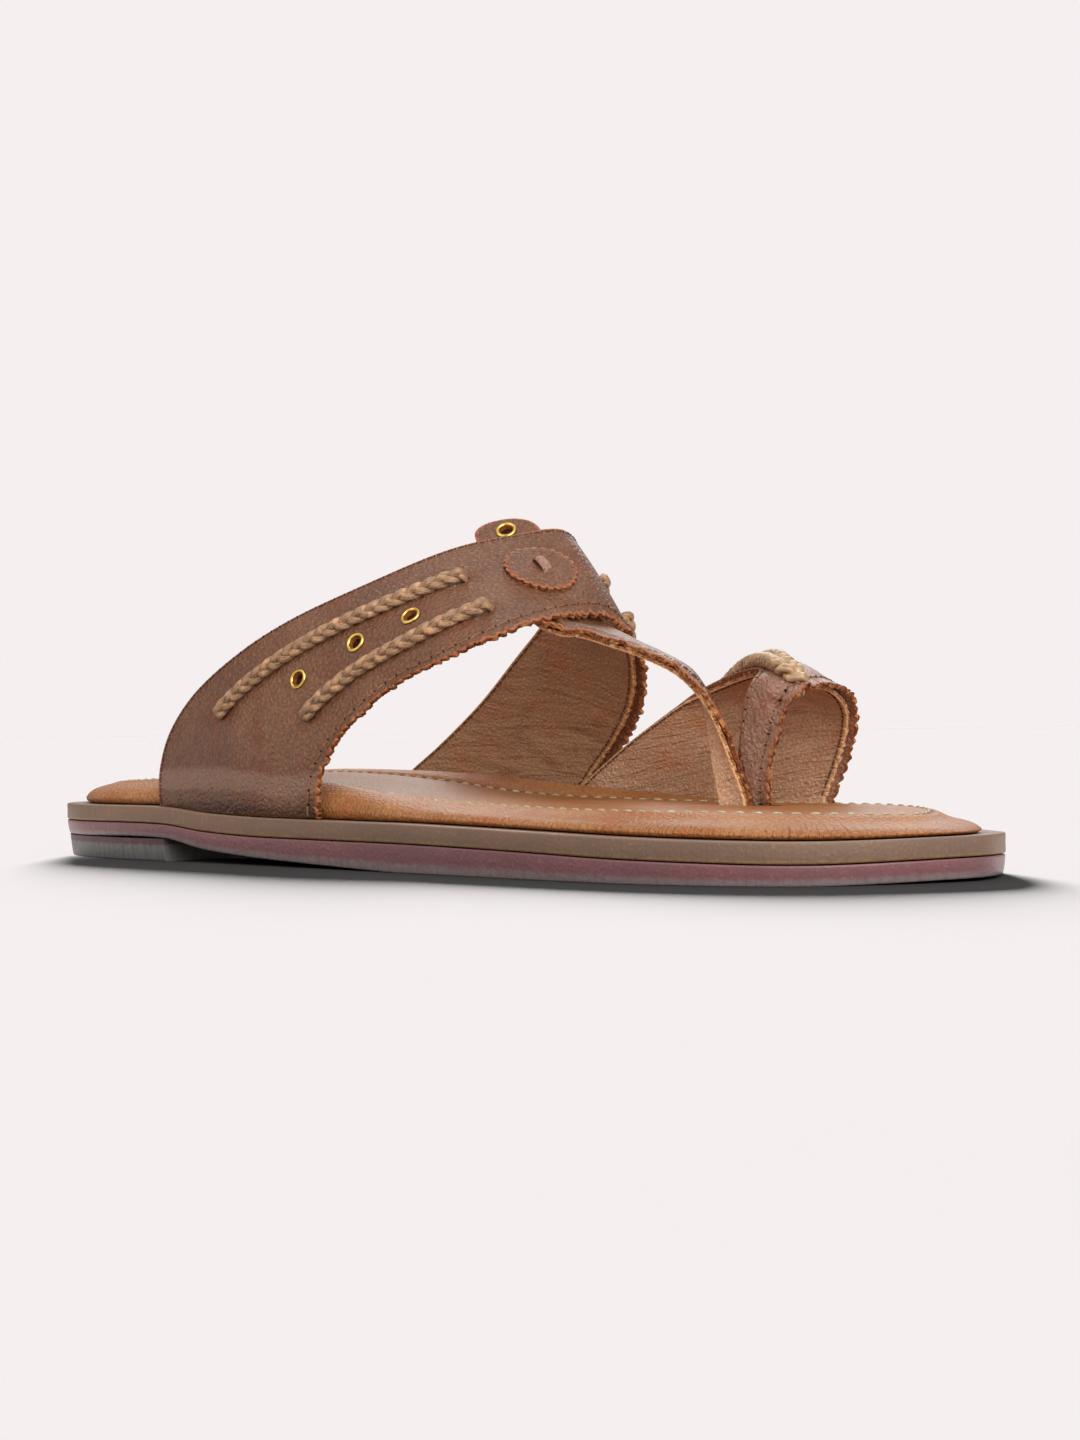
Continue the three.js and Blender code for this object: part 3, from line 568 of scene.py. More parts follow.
def embossed(tree, heights):
    """A normal from heights laid over each other: pairs of a pattern and its depth in mm."""
    normal = None
    for pattern, depth in heights:
        inputs = {"Strength": 1.0, "Distance": depth * MM, "Height": pattern}
        if normal is not None:
            inputs["Normal"] = normal
        normal = add(tree, "Bump", inputs).outputs[0]
    return normal


def hide_finish(
    name, tone, pale, dark, raw_edge_and_channel_shade, folds, grain=0.85, depth=0.2, gloss=0.42, coat=0.08,
    foot=None, pleats=0.0, shine=0.35, crease_shade=0.25,
):
    """Leather. Pebbled grain breaks the light into specks; pores are darker inside, and the
    troughs of the folds are darkened as painted shade.

    Foot is the height band over the welt that is glossier and painted dark as shade, with a
    pale stripe painted over it as sheen. Pleats is the depth of the upright puckers where the
    leather is drawn round a rim. The crease shade setting is how much painted shade darkens
    the troughs of the wrinkles.
    """
    constants = {"IOR": 1.5, "Coat_Weight": coat, "Coat_Roughness": 0.28, "Specular_IOR_Level": shine}
    material, tree, shader, place, skin = start(name, **constants)
    patches = spots(tree, place, 0, (22, 22, 22))
    rusty = spots(tree, place, 0, (9, 9, 9), 3.0)
    specks = spots(tree, place, 0, (grain,) * 3, 2.0)
    pebbled = add(tree, "VectorMath", {0: place, 1: (1 / grain / 1.7,) * 3}, operation="MULTIPLY")
    pebble = {"Vector": pebbled.outputs[0], "Scale": 1.0}
    cells = add(tree, "TexVoronoi", pebble, feature="DISTANCE_TO_EDGE").outputs["Distance"]
    turn, along, across, strength = folds
    wrinkles = spots(tree, skin, turn, (along, across, 1), 2.0, 0.9)
    reddened = tuple(part * share for part, share in zip(tone, (1.12, 0.84, 0.7)))
    colour = laid(tree, tone, pale, patches, 0.36, 0.66)
    colour = laid(tree, colour, reddened, rusty, 0.48, 0.7, 0.7)
    colour = laid(tree, colour, dark, specks, 0.58, 0.36, 0.3)
    colour = laid(tree, colour, dark, cells, 0.16, 0.0, 0.3)
    # Painted shade: the troughs of the wrinkles are darkened
    colour = laid(tree, colour, dark, wrinkles, 0.5, 0.34, crease_shade)
    roughness = {0: patches, 1: 0.3, 2: 0.7, 3: gloss - 0.06, 4: gloss + 0.1}
    roughness = add(tree, "MapRange", roughness).outputs[0]
    # Painted shade along the foot over the welt, and painted sheen in a pale stripe above it
    if foot is not None:
        height = add(tree, "SeparateXYZ", {0: place}).outputs[2]
        wavy = add(tree, "Math", {0: patches, 1: 5.0, 2: height}, operation="MULTIPLY_ADD").outputs[0]
        low, high = foot
        painted_sheen = between(tree, wavy, high + 2.5, high + 5, 3)
        colour = laid(tree, colour, srgb("#A5826C"), painted_sheen, 0.0, 1.0, 0.35)
        gloss_and_painted_shade = between(tree, wavy, -9, low, high - low)
        colour = laid(tree, colour, dimmed(dark, 0.8), gloss_and_painted_shade, 0.0, 1.0, 0.6)
        roughness = add(tree, "Mix", {0: gloss_and_painted_shade, 2: roughness, 3: 0.24}).outputs[0]
    # Raw colour near cuts; on the footbed, painted shade along the sewn channel
    edge = add(tree, "Attribute", attribute_name="edge").outputs["Fac"]
    frayed = add(tree, "Math", {0: specks, 1: -1.3, 2: edge}, operation="MULTIPLY_ADD").outputs[0]
    colour = laid(tree, colour, raw_edge_and_channel_shade, frayed, 0.3, -0.3)
    tree.links.new(colour, shader.inputs["Base Color"])
    tree.links.new(roughness, shader.inputs["Roughness"])
    heights = [(wrinkles, strength), (cells, 2.5 * depth), (specks, 1.6 * depth)]
    if pleats:
        rise = add(tree, "Attribute", attribute_name="rise").outputs["Fac"]
        drawn = between(tree, rise, -1, 0.4, 0.35)
        puckers = spots(tree, skin, 0, (0.9, 4, 1), 2.0, 0.4)
        puckers = add(tree, "Math", {0: puckers, 1: drawn}, operation="MULTIPLY").outputs[0]
        heights.insert(0, (puckers, pleats))
    tree.links.new(embossed(tree, heights), shader.inputs["Normal"])
    return material


def cut_edge(name, tone, pale, dark):
    """Raw cut leather: loose fibres in layers, quite matt, lighter in lumps."""
    constants = {"IOR": 1.5, "Roughness": 0.85, "Specular_IOR_Level": 0.25}
    material, tree, shader, place, _ = start(name, **constants)
    fibres = spots(tree, place, 0, (1.0, 0.8, 0.45), 5.0, 1.2)
    lumps = spots(tree, place, 0, (2.2, 2.2, 1.6), 2.0)
    colour = laid(tree, dark, tone, fibres, 0.36, 0.6)
    colour = laid(tree, colour, pale, lumps, 0.48, 0.66)
    tree.links.new(colour, shader.inputs["Base Color"])
    tree.links.new(embossed(tree, [(fibres, 0.8)]), shader.inputs["Normal"])
    return material


def thread_finish(name, tone, dark, lay=0.45, gloss=0.5, coat=0.15, fibre=0.3):
    """Waxed twisted fibre: slanting strands with painted shade between them and painted glints."""
    constants = {"IOR": 1.5, "Coat_Weight": coat, "Coat_Roughness": 0.22}
    material, tree, shader, place, skin = start(name, **constants)
    twist_and_gap_shade = spots(tree, skin, 24, (lay * 5, lay, 1))
    patches = spots(tree, place, 0, (2.4, 2.4, 2.4), 2.0)
    # Painted shade between the strands, and pale patches painted as glints
    colour = laid(tree, dark, tone, twist_and_gap_shade, 0.32, 0.54)
    colour = laid(tree, colour, dimmed(tone, 1.7), patches, 0.5, 0.72, 0.8)
    tree.links.new(colour, shader.inputs["Base Color"])
    roughness = {0: patches, 1: 0.35, 2: 0.7, 3: gloss + 0.12, 4: gloss - 0.14}
    tree.links.new(add(tree, "MapRange", roughness).outputs[0], shader.inputs["Roughness"])
    tree.links.new(embossed(tree, [(twist_and_gap_shade, fibre)]), shader.inputs["Normal"])
    return material


def edge_finish(name, tone, pale, dark, foot, wheel, gloss, uneven=0.22):
    """A sole's trimmed edge, wheeled or buffed: foot is where its lower colour gives way."""
    constants = {"IOR": 1.5, "Specular_IOR_Level": 0.4}
    material, tree, shader, place, skin = start(name, **constants)
    rise = add(tree, "Attribute", attribute_name="rise").outputs["Fac"]
    patches = spots(tree, place, 0, (18, 18, 12), 3.0)
    specks = spots(tree, place, 0, (0.9, 0.9, 0.9), 3.0)
    lines = spots(tree, skin, 0, (wheel, 9, 1), 3.0)
    ragged = spots(tree, skin, 0, (2.2, 2.2, 1))
    wave = add(tree, "Math", {0: ragged, 1: uneven, 2: rise}, operation="MULTIPLY_ADD").outputs[0]
    colour = laid(tree, tone, dark, patches, 0.38, 0.64, 0.6)
    colour = laid(tree, colour, pale, wave, foot[1], foot[0])
    colour = laid(tree, colour, dark, lines, 0.56, 0.3, 0.4)
    colour = laid(tree, colour, dimmed(tone, 1.8), specks, 0.6, 0.72, 0.4)
    tree.links.new(colour, shader.inputs["Base Color"])
    roughness = {0: patches, 1: 0.3, 2: 0.7, 3: gloss, 4: gloss + 0.15}
    tree.links.new(add(tree, "MapRange", roughness).outputs[0], shader.inputs["Roughness"])
    tree.links.new(embossed(tree, [(lines, 0.1), (specks, 0.14)]), shader.inputs["Normal"])
    return material


def brass_finish(name, tone):
    """Polished brass: sharp warm reflections, slightly dulled by handling."""
    material, tree, shader, place, _ = start(name, Metallic=1.0)
    dull = spots(tree, place, 0, (1.2,) * 3, 3.0)
    tree.links.new(laid(tree, tone, dimmed(tone, 0.75), dull, 0.4, 0.7), shader.inputs["Base Color"])
    roughness = {0: dull, 1: 0.3, 2: 0.7, 3: 0.06, 4: 0.18}
    tree.links.new(add(tree, "MapRange", roughness).outputs[0], shader.inputs["Roughness"])
    return material


FINISHES = {}


def finishes():
    """All finishes of the sandal, made once from the user's colours."""
    if FINISHES:
        return FINISHES
    c = bpy.context.scene.sandal_colours
    raw = srgb("#A25B33")
    FINISHES.update({
        # Full-grain calf, hand waxed: pebbled; along its foot glossy and painted dark as shade,
        # under a stripe of painted sheen
        "upper": hide_finish(
            "waxed_calf", c.upper, srgb("#86593D"), srgb("#3C2317"), raw, (4, 9, 1.8, 0.2),
            0.9, 0.2, 0.34, 0.18, foot=(16.0, 20.0), crease_shade=0.12,
        ),
        # The same calf on the ring: redder, drawn into fine slanting wrinkles that glint
        "ring": hide_finish(
            "creased_calf", srgb("#946853"), srgb("#AE836D"), srgb("#5A382A"), raw,
            (38, 5, 1.9, 0.6), 0.8, 0.2, 0.32, 0.2, shine=0.45, crease_shade=0.2,
        ),
        # Unfinished lining leather: soft, matt, in broad wrinkles, warmer than the upper
        "lining": hide_finish(
            "lining_calf", c.lining, dimmed(c.lining, 1.2), dimmed(c.lining, 0.4), srgb("#D09862"),
            (90, 15, 3.6, 0.8), 0.7, 0.14, 0.5, 0.0, crease_shade=0.12,
        ),
        # The same lining on the toe strap and ring, made paler as painted light, in fine wrinkles
        "lit_toe_lining": hide_finish(
            "painted_lit_lining", srgb("#CB9E7B"), srgb("#DBB08E"), srgb("#8A5C3E"), srgb("#E0AC7C"),
            (70, 9, 2.0, 0.7), 0.7, 0.14, 0.5, 0.0, crease_shade=0.15,
        ),
        # Footbed leather: soft tan, polished by hand so that its ridges shine pale; its sewn
        # channel is painted dark as shade
        "pad": hide_finish(
            "padded_calf", c.footbed, srgb("#B67C4A"), srgb("#7E4924"), srgb("#7A4A28"),
            (90, 7, 2.4, 0.1), 0.8, 0.16, 0.38, 0.08, pleats=1.0, shine=0.28, crease_shade=0.05,
        ),
        # Raw cuts: red-brown through the upper, tan through the lining, and a dark one as painted
        # shade in holes, slits and eyelets
        "raw": cut_edge("raw_edge_red", srgb("#995931"), srgb("#C6874F"), srgb("#3F2012")),
        "pale_raw": cut_edge("raw_edge_tan", srgb("#CF8B57"), srgb("#E8B88A"), srgb("#7A3F20")),
        "hole_shade": cut_edge("raw_edge_painted_shade", srgb("#3E1D10"), srgb("#4F2614"), srgb("#150A06")),
        # Waxed plaits: tan strands with painted pale glints and painted shade between them
        "cord": thread_finish("waxed_cord", c.cord, dimmed(c.cord, 0.25), coat=0.4),
        "plait": thread_finish(
            "glossy_plait", srgb("#B18C66"), srgb("#7A5838"), 0.5, 0.28, 0.5, fibre=0.12,
        ),
        # Sewing threads, with the same painted glints and shade between strands
        "thread": thread_finish("tan_thread", srgb("#B07A4C"), srgb("#5E3A20"), 0.16),
        "dark_thread": thread_finish("brown_thread", srgb("#7C4B2E"), srgb("#3A2114"), 0.16),
        "cream_thread": thread_finish("cream_thread", srgb("#EDD9AE"), srgb("#B8976A"), 0.16),
        # Stacked leather welt, wheeled upright and burnished, ochre along its foot
        "welt": edge_finish(
            "burnished_welt", c.welt, srgb("#9A774F"), srgb("#776050"), (0.2, 0.42), 0.7, 0.38, 0.4,
        ),
        # Moulded rubber with a satin skin, worn grey where it meets the floor
        "outsole": edge_finish(
            "wine_rubber", c.outsole, srgb("#918280"), srgb("#7C5556"), (0.3, 0.62), 1.6, 0.26, 0.3,
        ),
        "heel": edge_finish(
            "grey_rubber", srgb("#6E4A4B"), c.heel, srgb("#494643"), (0.78, 0.9), 1.2, 0.45,
        ),
        # Polished brass: bright thin rims
        "brass": brass_finish("polished_brass", c.brass),
    })
    return FINISHES


# Pieces
def loft(
    name, profile, low, high, materials, steps=170, columns=22, share=1.0, stop=None, edges=None,
):
    """A body with the sole's outline: side profile of (inset, height) and crossing columns.

    Share is how much of the outline it follows from the heel, and stop the station where it
    is cut off. Edges is the distance in millimetres of every profile row from a line that the
    finish paints dark as shade.
    """
    t = np.linspace(0, 1, steps + 1) * share / 2
    sides = []
    for side in (t, 1 - t):
        points = []
        for inset, height in profile:
            x, y = rim(side, inset)
            x = x if stop is None else np.minimum(x, stop)
            points.append(np.stack([x, y, height(x, y)], 1))
        sides.append(np.stack(points, 1))
    outer, inner = sides

    def crossing(a, b, height):
        over = np.linspace(0, 1, columns + 1)[1:-1][None, :, None]
        xy = a[:, None, :2] * (1 - over) + b[:, None, :2] * over
        return np.concatenate([xy, height(xy[..., 0], xy[..., 1])[..., None]], 2)

    top = crossing(outer[:, -1], inner[:, -1], high)
    bottom = crossing(inner[:, 0], outer[:, 0], low)
    section = np.concatenate([outer, top, inner[:, ::-1], bottom], 1)
    count = section.shape[1]
    faces = []
    for row in range(0, steps * count, count):
        for j in range(count):
            after = row + (j + 1) % count
            faces.append((row + j, after, after + count, row + j + count))
    if share < 1:
        faces.append(tuple(steps * count + j for j in range(count)))
    vertices = section.reshape(-1, 3)
    x, y, z = vertices.T
    depth = np.maximum(high(x, y) - low(x, y), 0.1)
    rise = (z - low(x, y)) / depth
    run = np.repeat(distances(outer[:, 0]), count)
    uncut = np.full(columns - 1, FAR_FROM_EDGE)
    edges = np.full(len(profile), FAR_FROM_EDGE) if edges is None else edges
    edge = np.tile(np.concatenate([edges, uncut, edges[::-1], uncut]), steps + 1)
    fields = {"rise": rise, "edge": edge}
    return new_piece(name, vertices, faces, materials, None, fields, np.stack([run, z], 1))


def shared_group(name):
    """A group of objects for light linking, made when it is first asked for."""
    return bpy.data.collections.get(name) or bpy.data.collections.new(name)


def layer(name, rows, low, high, look, **extent):
    """A layer of the sole from its side profile, its lower and its upper height by station."""
    profile = []
    for inset, share, lift in rows:
        height = lambda x, y, s=share, z=lift: low(x) + (high(x) - low(x)) * s + z
        profile.append((inset, height))
    return loft(name, profile, lambda x, y: low(x), lambda x, y: high(x), [look], **extent)


def make_sole(look):
    """Outsole, welt and heel lift."""
    outsole_top = lambda x: joint(x) - FIT_GAP / 2
    rubber = layer("outsole_rubber", OUTSOLE_PROFILE, tread, outsole_top, look["outsole"])
    settle(rubber, "outsole", "outsole")

    welt_foot = lambda x: joint(x) + FIT_GAP / 2
    edge = layer("welt_leather", WELT_PROFILE, welt_foot, welt, look["welt"])
    settle(edge, "welt", "midsole")
    for part in (rubber, edge):
        shared_group("sole_only").objects.link(part)

    ground = lambda x: 0 * x
    lift_top = lambda x: 0 * x + HEEL_LIFT - FIT_GAP
    fine = np.linspace(0, 1, 2001)
    share = float(np.interp(HEEL_BREAST, outline.at(fine / 2)[:, 0], fine))
    extent = {"steps": 70, "columns": 14, "share": share, "stop": HEEL_BREAST}
    heel = layer("heel_lift", HEEL_PROFILE, ground, lift_top, look["heel"], **extent)
    settle(heel, "heel_lift", "heel_block", sharp=50)


def roll_height(x, y):
    """Height of the roll round the footbed's rim; its two sides blend round heel and toe."""
    share = np.clip((y / FOOTBED_ROLL + 1) / 2, 0, 1)
    share = share * share * (3 - 2 * share)
    return outer_roll(x) * (1 - share) + inner_roll(x) * share


def pad_height(x, y, climb, mix, lift):
    """Height on the footbed: climb up its side, mix from its roll to its middle, and a lift."""
    base = welt(x) + FIT_GAP
    return (base + (roll_height(x, y) - base) * climb) * (1 - mix) + bed(x) * mix + lift


def slot_cutter(look):
    """An upright block with round ends that cuts the toe strap's slot."""
    rear, front, outer, inner = SLOT
    foot, top, sides = 11.6, 30.0, 40
    radius = (inner - outer) / 2
    turn = np.linspace(0, 2 * np.pi, sides + 1)[:-1]
    x = np.where(np.cos(turn) > 0, front - radius, rear + radius) + radius * np.cos(turn)
    y = (outer + inner) / 2 + radius * np.sin(turn)
    vertices = [(a, b, z) for z in (foot, top) for a, b in zip(x, y)]
    return new_piece("slot_cutter", vertices, prism_faces(sides), [look["pad"]])


def make_footbed(look):
    """Padded footbed with a rolled rim, a sewn channel and a slot for the toe strap."""
    profile = []
    rows = Curve(PAD_PROFILE).at(np.linspace(0, 1, 71))
    for inset, climb, mix, lift in rows:
        height = lambda x, y, c=climb, m=mix, z=lift: pad_height(x, y, c, m, z)
        profile.append((FOOTBED_INSET + inset, height))
    foot = lambda x, y: pad_height(x, y, 0, 0, 0)
    middle = lambda x, y: pad_height(x, y, 1, 1, 0)
    # Distance to the sewn channel, where the pad's finish paints a line of shade
    narrowed = 2.0
    edges = narrowed * np.abs(rows[:, 0] - CHANNEL)
    pad = loft(
        "footbed_leather", profile, foot, middle, [look["pad"]], steps=240, columns=40, edges=edges,
    )
    punch(pad, slot_cutter(look))
    settle(pad, "footbed_leather", "footbed", sharp=60)
    shared_group("sole_only").objects.link(pad)


def punch(piece, cutter):
    """Cuts one piece out of another and removes the cutter."""
    settle_normals(piece)
    settle_normals(cutter)
    cut = piece.modifiers.new("punch", "BOOLEAN")
    cut.operation, cut.object, cut.solver = "DIFFERENCE", cutter, "EXACT"
    graph = bpy.context.evaluated_depsgraph_get()
    graph.update()
    shaped = bpy.data.meshes.new_from_object(piece.evaluated_get(graph))
    piece.modifiers.clear()
    piece.data = shaped
    bpy.data.objects.remove(cutter)


def settle_normals(piece):
    """Merges doubled corners and turns all faces outwards."""
    work = bmesh.new()
    work.from_mesh(piece.data)
    bmesh.ops.remove_doubles(work, verts=work.verts, dist=MERGE_WITHIN)
    bmesh.ops.recalc_face_normals(work, faces=work.faces)
    work.to_mesh(piece.data)
    work.free()


# Folds, listed one by one: row, width, half length and half width in millimetres, turn, height
BAND_FOLDS = (
    (0.13, 0.78, 9, 1.5, -8, -0.5), (0.15, 0.7, 8, 1.2, -4, -0.35), (0.12, 0.86, 7, 1.3, -10, 0.4),
    (0.1, 0.45, 11, 5, 0, 0.5), (0.19, 0.8, 6, 1.1, 12, -0.3), (0.2, 0.66, 7, 2.2, 6, 0.3),
    (0.205, 0.25, 5, 1.6, 10, -0.3), (0.5, 0.2, 12, 5, 0, 0.35), (0.9, 0.5, 8, 1.6, 80, -0.5),
    (0.87, 0.6, 10, 1.5, 70, -0.6), (0.84, 0.75, 9, 1.3, 84, 0.5), (0.93, 0.7, 9, 1.5, 76, 0.5),
)
RING_FOLDS = (
    (0.27, 0.84, 2.2, 1.2, 40, -1.0), (0.31, 0.93, 2.4, 1.3, 60, -1.6), (0.34, 0.97, 2.6, 1.2, 80, 1.1),
    (0.37, 0.95, 2.2, 1.2, 70, -0.9), (0.2, 0.4, 8, 1.4, 38, 0.3), (0.16, 0.6, 7, 1.2, 34, -0.3),
    (0.24, 0.5, 7, 1.2, 30, -0.25), (0.72, 0.5, 8, 1.4, 85, -0.4), (0.76, 0.6, 9, 1.4, 88, 0.4),
    (0.8, 0.45, 9, 1.3, 84, -0.35), (0.68, 0.7, 8, 1.3, 86, 0.3),
)
STRAP_FOLDS = (
    (0.06, 0.75, 6, 1.1, 24, 0.9), (0.08, 0.55, 7, 1.2, 16, -0.9), (0.1, 0.88, 5, 1.0, 30, -0.8),
    (0.14, 0.7, 6, 1.2, 10, 0.7), (0.2, 0.85, 6, 1.2, 8, -0.5), (0.3, 0.8, 7, 1.2, 4, 0.4),
)


def relief(surface, folds, u, v):
    """Height in millimetres of the listed soft troughs and ridges."""
    fine = np.linspace(0, 1, 400)
    length = distances(surface.point(fine, 0.5 + 0 * fine))[-1]
    width = surface.width(u)
    total = np.zeros(np.broadcast(u, v).shape)
    for at, across, long_side, short_side, turn, height in folds:
        a, b = (u - at) * length, (v - across) * width
        c, s = math.cos(math.radians(turn)), math.sin(math.radians(turn))
        along, aside = (a * c + b * s) / long_side, (b * c - a * s) / short_side
        total += height * np.exp(-(along**2) - aside**2)
    return total


def pinks(run, seed, teeth):
    """Depth of the pinking cut along an edge and the curl of each tooth, both in millimetres."""
    sizes = bpy.context.scene.sandal_sizes
    pitch, depth = sizes.pink_pitch / MM, sizes.pink_depth / MM * teeth
    dice = random.Random(seed)
    count = int(run[-1] / pitch) + 3
    jitter = np.array([dice.uniform(-1, 1) for _ in range(2 * count)]).reshape(2, count)
    place = run / pitch + 0.16 * np.sin(run / 2.9 + seed) + 0.12 * np.sin(run / 1.3)
    tooth = np.clip(place.astype(int), 0, count - 1)
    wave = np.abs(np.sin(np.pi * place)) ** 0.75
    cut = depth * (1 - wave * (1 + 0.3 * jitter[0][tooth]))
    for _ in range(5):
        cut += 0.07 * np.sin(run * dice.uniform(2.2, 6.5) + dice.uniform(0, 6.28))
    curl = wave * (0.25 + 0.45 * jitter[1][tooth])
    return cut, curl


def edged_columns(surface, front_cut=0.0, rear_cut=0.0, middle=18):
    """Widths of a wall's columns, close together at both edges, and their distance to the edge."""
    near = np.array([0, 0.12, 0.35, 0.7, 1.2, 2.0, 3.2])

    def columns(u):
        width = surface.width(u)[:, None]
        first = rear_cut / width
        last = 1 - np.broadcast_to(front_cut, u.shape)[:, None] / width
        rear = first + near / width
        front = last - near[::-1] / width
        between = np.linspace(0, 1, middle + 2)[1:-1]
        inner = rear[:, -1:] + (front[:, :1] - rear[:, -1:]) * between
        v = np.concatenate([rear, inner, front], 1)
        edge = np.minimum((v - first), (last - v)) * width
        return v, edge

    return columns


def rounded(edge, radius):
    """How far a face drops towards a cut edge."""
    inside = np.clip(radius - edge, 0, radius)
    return radius - np.sqrt(np.maximum(radius**2 - inside**2, 0))


def clear_rows(surface):
    """Widths of a strap, and at each the first and last row that stand clear of the welt."""
    least = 0.1
    fine = np.linspace(0, 1, 600)
    starts, stops, widths = [], [], np.linspace(-0.05, 1.05, 23)
    for width in widths:
        line = surface.point(fine, width + 0 * fine)
        over = line[:, 2] - welt(line[:, 0]) - least
        clear = np.nonzero(over > 0)[0]
        starts.append(fine[clear[0]])
        stops.append(fine[clear[-1]])
    return widths, np.array(starts), np.array(stops)


class Trimmed:
    """A strap's surface whose rows run only over the part that stands clear of the sole."""

    def __init__(self, surface, first=True):
        self.surface = surface
        self.widths, starts, self.stops = clear_rows(surface)
        self.starts = starts if first else 0 * starts

    def row(self, u, v):
        """Rows of the whole surface for rows u of the clear part."""
        start = np.interp(v, self.widths, self.starts)
        stop = np.interp(v, self.widths, self.stops)
        return start + np.asarray(u) * (stop - start)

    def point(self, u, v):
        """Points of the clear part."""
        return self.surface.point(self.row(u, v), v)

    def raised(self, u, v, height):
        """Points that stand off the clear part by a height."""
        return self.surface.raised(self.row(u, v), v, height)

    def width(self, u):
        """Straight widths of the clear part."""
        return self.surface.width(self.row(u, 0.5 + 0 * np.asarray(u, float)))


def edge_rows(surface, spacing=0.42):
    """Rows evenly spaced along a strap's front edge, and the run of that edge."""
    fine = np.linspace(0, 1, 1500)
    run = distances(surface.point(fine, np.ones_like(fine)))
    count = int(run[-1] / spacing)
    marks = np.linspace(0, run[-1], count + 1)
    return np.interp(marks, run, fine), marks


def leather_pair(
    name, surface, lift, folds, look, seed=1, teeth=1.0, flare=0.0, lining_short=2.6,
    dimples=(), finish="upper", inside="lit_toe_lining", under_band=False,
):
    """Outer leather with its pinked front edge, and the lining that stops short of it."""
    u, run = edge_rows(surface)
    cut, curl = pinks(run, seed, teeth)
    frayed, _ = pinks(run, seed + 50, 0.3)
    fine = np.linspace(0, 1, 200)
    length = distances(surface.point(fine, 0.5 + 0 * fine))[-1]

    def seat(grid_u, v):
        row = surface.row(grid_u, v)
        tuck = TUCK_DEPTH * foot_tuck(surface, grid_u, v)
        height = lift + relief(surface, folds, row, v) - tuck
        if under_band:
            height = height - STRAP_TUCK * np.clip((STRAP_CLEAR - row) / STRAP_RAMP, 0, 1) ** 2
        for at, across in dimples:
            a, b = (row - at) * length, (v - across) * surface.width(grid_u)
            height = height - DIMPLE_DEPTH * np.exp(-(a**2 + b**2) / DIMPLE_REACH**2)
        return height

    def outer_height(grid_u, v):
        fall = np.exp(-((1 - v) * surface.width(grid_u) / CURL_REACH) ** 2)
        return seat(grid_u, v) + (curl[:, None] + flare) * fall

    outer = shell(
        name + "_leather", surface, u, edged_columns(surface, cut - OVERHANG, 0.0),
        lambda a, v, edge: outer_height(a, v) - rounded(edge, EDGE_ROUND),
        lambda a, v, edge: outer_height(a, v) - OUTER_LEATHER,
        [look[finish], look["raw"]],
    )
    under = shell(
        name + "_lining", surface, u, edged_columns(surface, lining_short + frayed, LINING_BACK),
        lambda a, v, edge: seat(a, v) - OUTER_LEATHER - GLUE_LINE,
        lambda a, v, edge: seat(a, v) - WALL + rounded(edge, EDGE_ROUND),
        [look[inside], look["pale_raw"]],
    )
    return outer, under


def foot_tuck(surface, u, v):
    """Share of the tuck that draws a strap in where it enters the sole."""
    z = surface.point(u, v)[..., 2]
    return np.exp(-np.maximum(0, z - TUCK_FROM) / TUCK_REACH)


def circle(up, sides):
    """Directions evenly round an upright one, in a plane square to it."""
    side_way = unit(np.cross(up, np.array([0.3, 0.8, 0.5])))
    other = np.cross(up, side_way)
    turn = np.linspace(0, 2 * np.pi, sides + 1)[:-1]
    return side_way[None] * np.cos(turn)[:, None] + other[None] * np.sin(turn)[:, None]


def prism_faces(sides):
    """Faces of a closed prism whose lower corners come before its upper ones."""
    faces = [(k, (k + 1) % sides, (k + 1) % sides + sides, k + sides) for k in range(sides)]
    return faces + [tuple(range(sides))[::-1], tuple(range(sides, 2 * sides))]


def cylinder(surface, u, v, lift, diameter, depth=8.0, sides=28):
    """Corners and faces of a punch that stands square on a surface."""
    centre, up = surface.raised(u, v, lift), surface.normal(u, v)
    ring = circle(up, sides) * diameter / 2
    vertices = np.concatenate([centre + ring - up * depth / 2, centre + ring + up * depth / 2])
    return vertices, prism_faces(sides)


def punches(surface, places, lift, diameter, material):
    """One cutter with a punch at every place."""
    vertices, faces = [], []
    for u, v in places:
        corners, sides = cylinder(surface, u, v, lift, diameter)
        base = sum(len(block) for block in vertices)
        vertices.append(corners)
        faces += [tuple(base + k for k in face) for face in sides]
    return new_piece("punches", np.concatenate(vertices), faces, [material])


def make_band(look):
    """Instep band: outer leather with holes punched for its eyelets, over a whole lining."""
    ends = [place for _, start_at, stop_at in CORDS for place in (start_at, stop_at)]
    outer, lining = leather_pair(
        "band", Trimmed(band), 0, BAND_FOLDS, look, seed=4, dimples=ends, inside="lining",
    )
    holes = [(u, v) for _, u, v in EYELETS]
    punch(outer, punches(band, holes, 0, EYELET_HOLE, look["hole_shade"]))
    settle(outer, "upper_leather", "upper", sharp=45)
    settle(lining, "lining_leather", sharp=45)


def make_toe_straps(look):
    """Toe strap, which starts under the band, and toe ring, whose front edge flares."""
    strap = leather_pair(
        "toe_strap", Trimmed(toe_strap, first=False), WALL / 2, STRAP_FOLDS, look,
        seed=9, teeth=0.45, lining_short=0.2, under_band=True,
    )
    ring = leather_pair(
        "toe_ring", Trimmed(toe_ring), WALL / 2, RING_FOLDS, look,
        seed=12, flare=0.9, lining_short=1.3, finish="ring",
    )
    for outer, lining in (strap, ring):
        settle(outer, "upper_leather", sharp=45)
        settle(lining, "lining_leather", sharp=45)


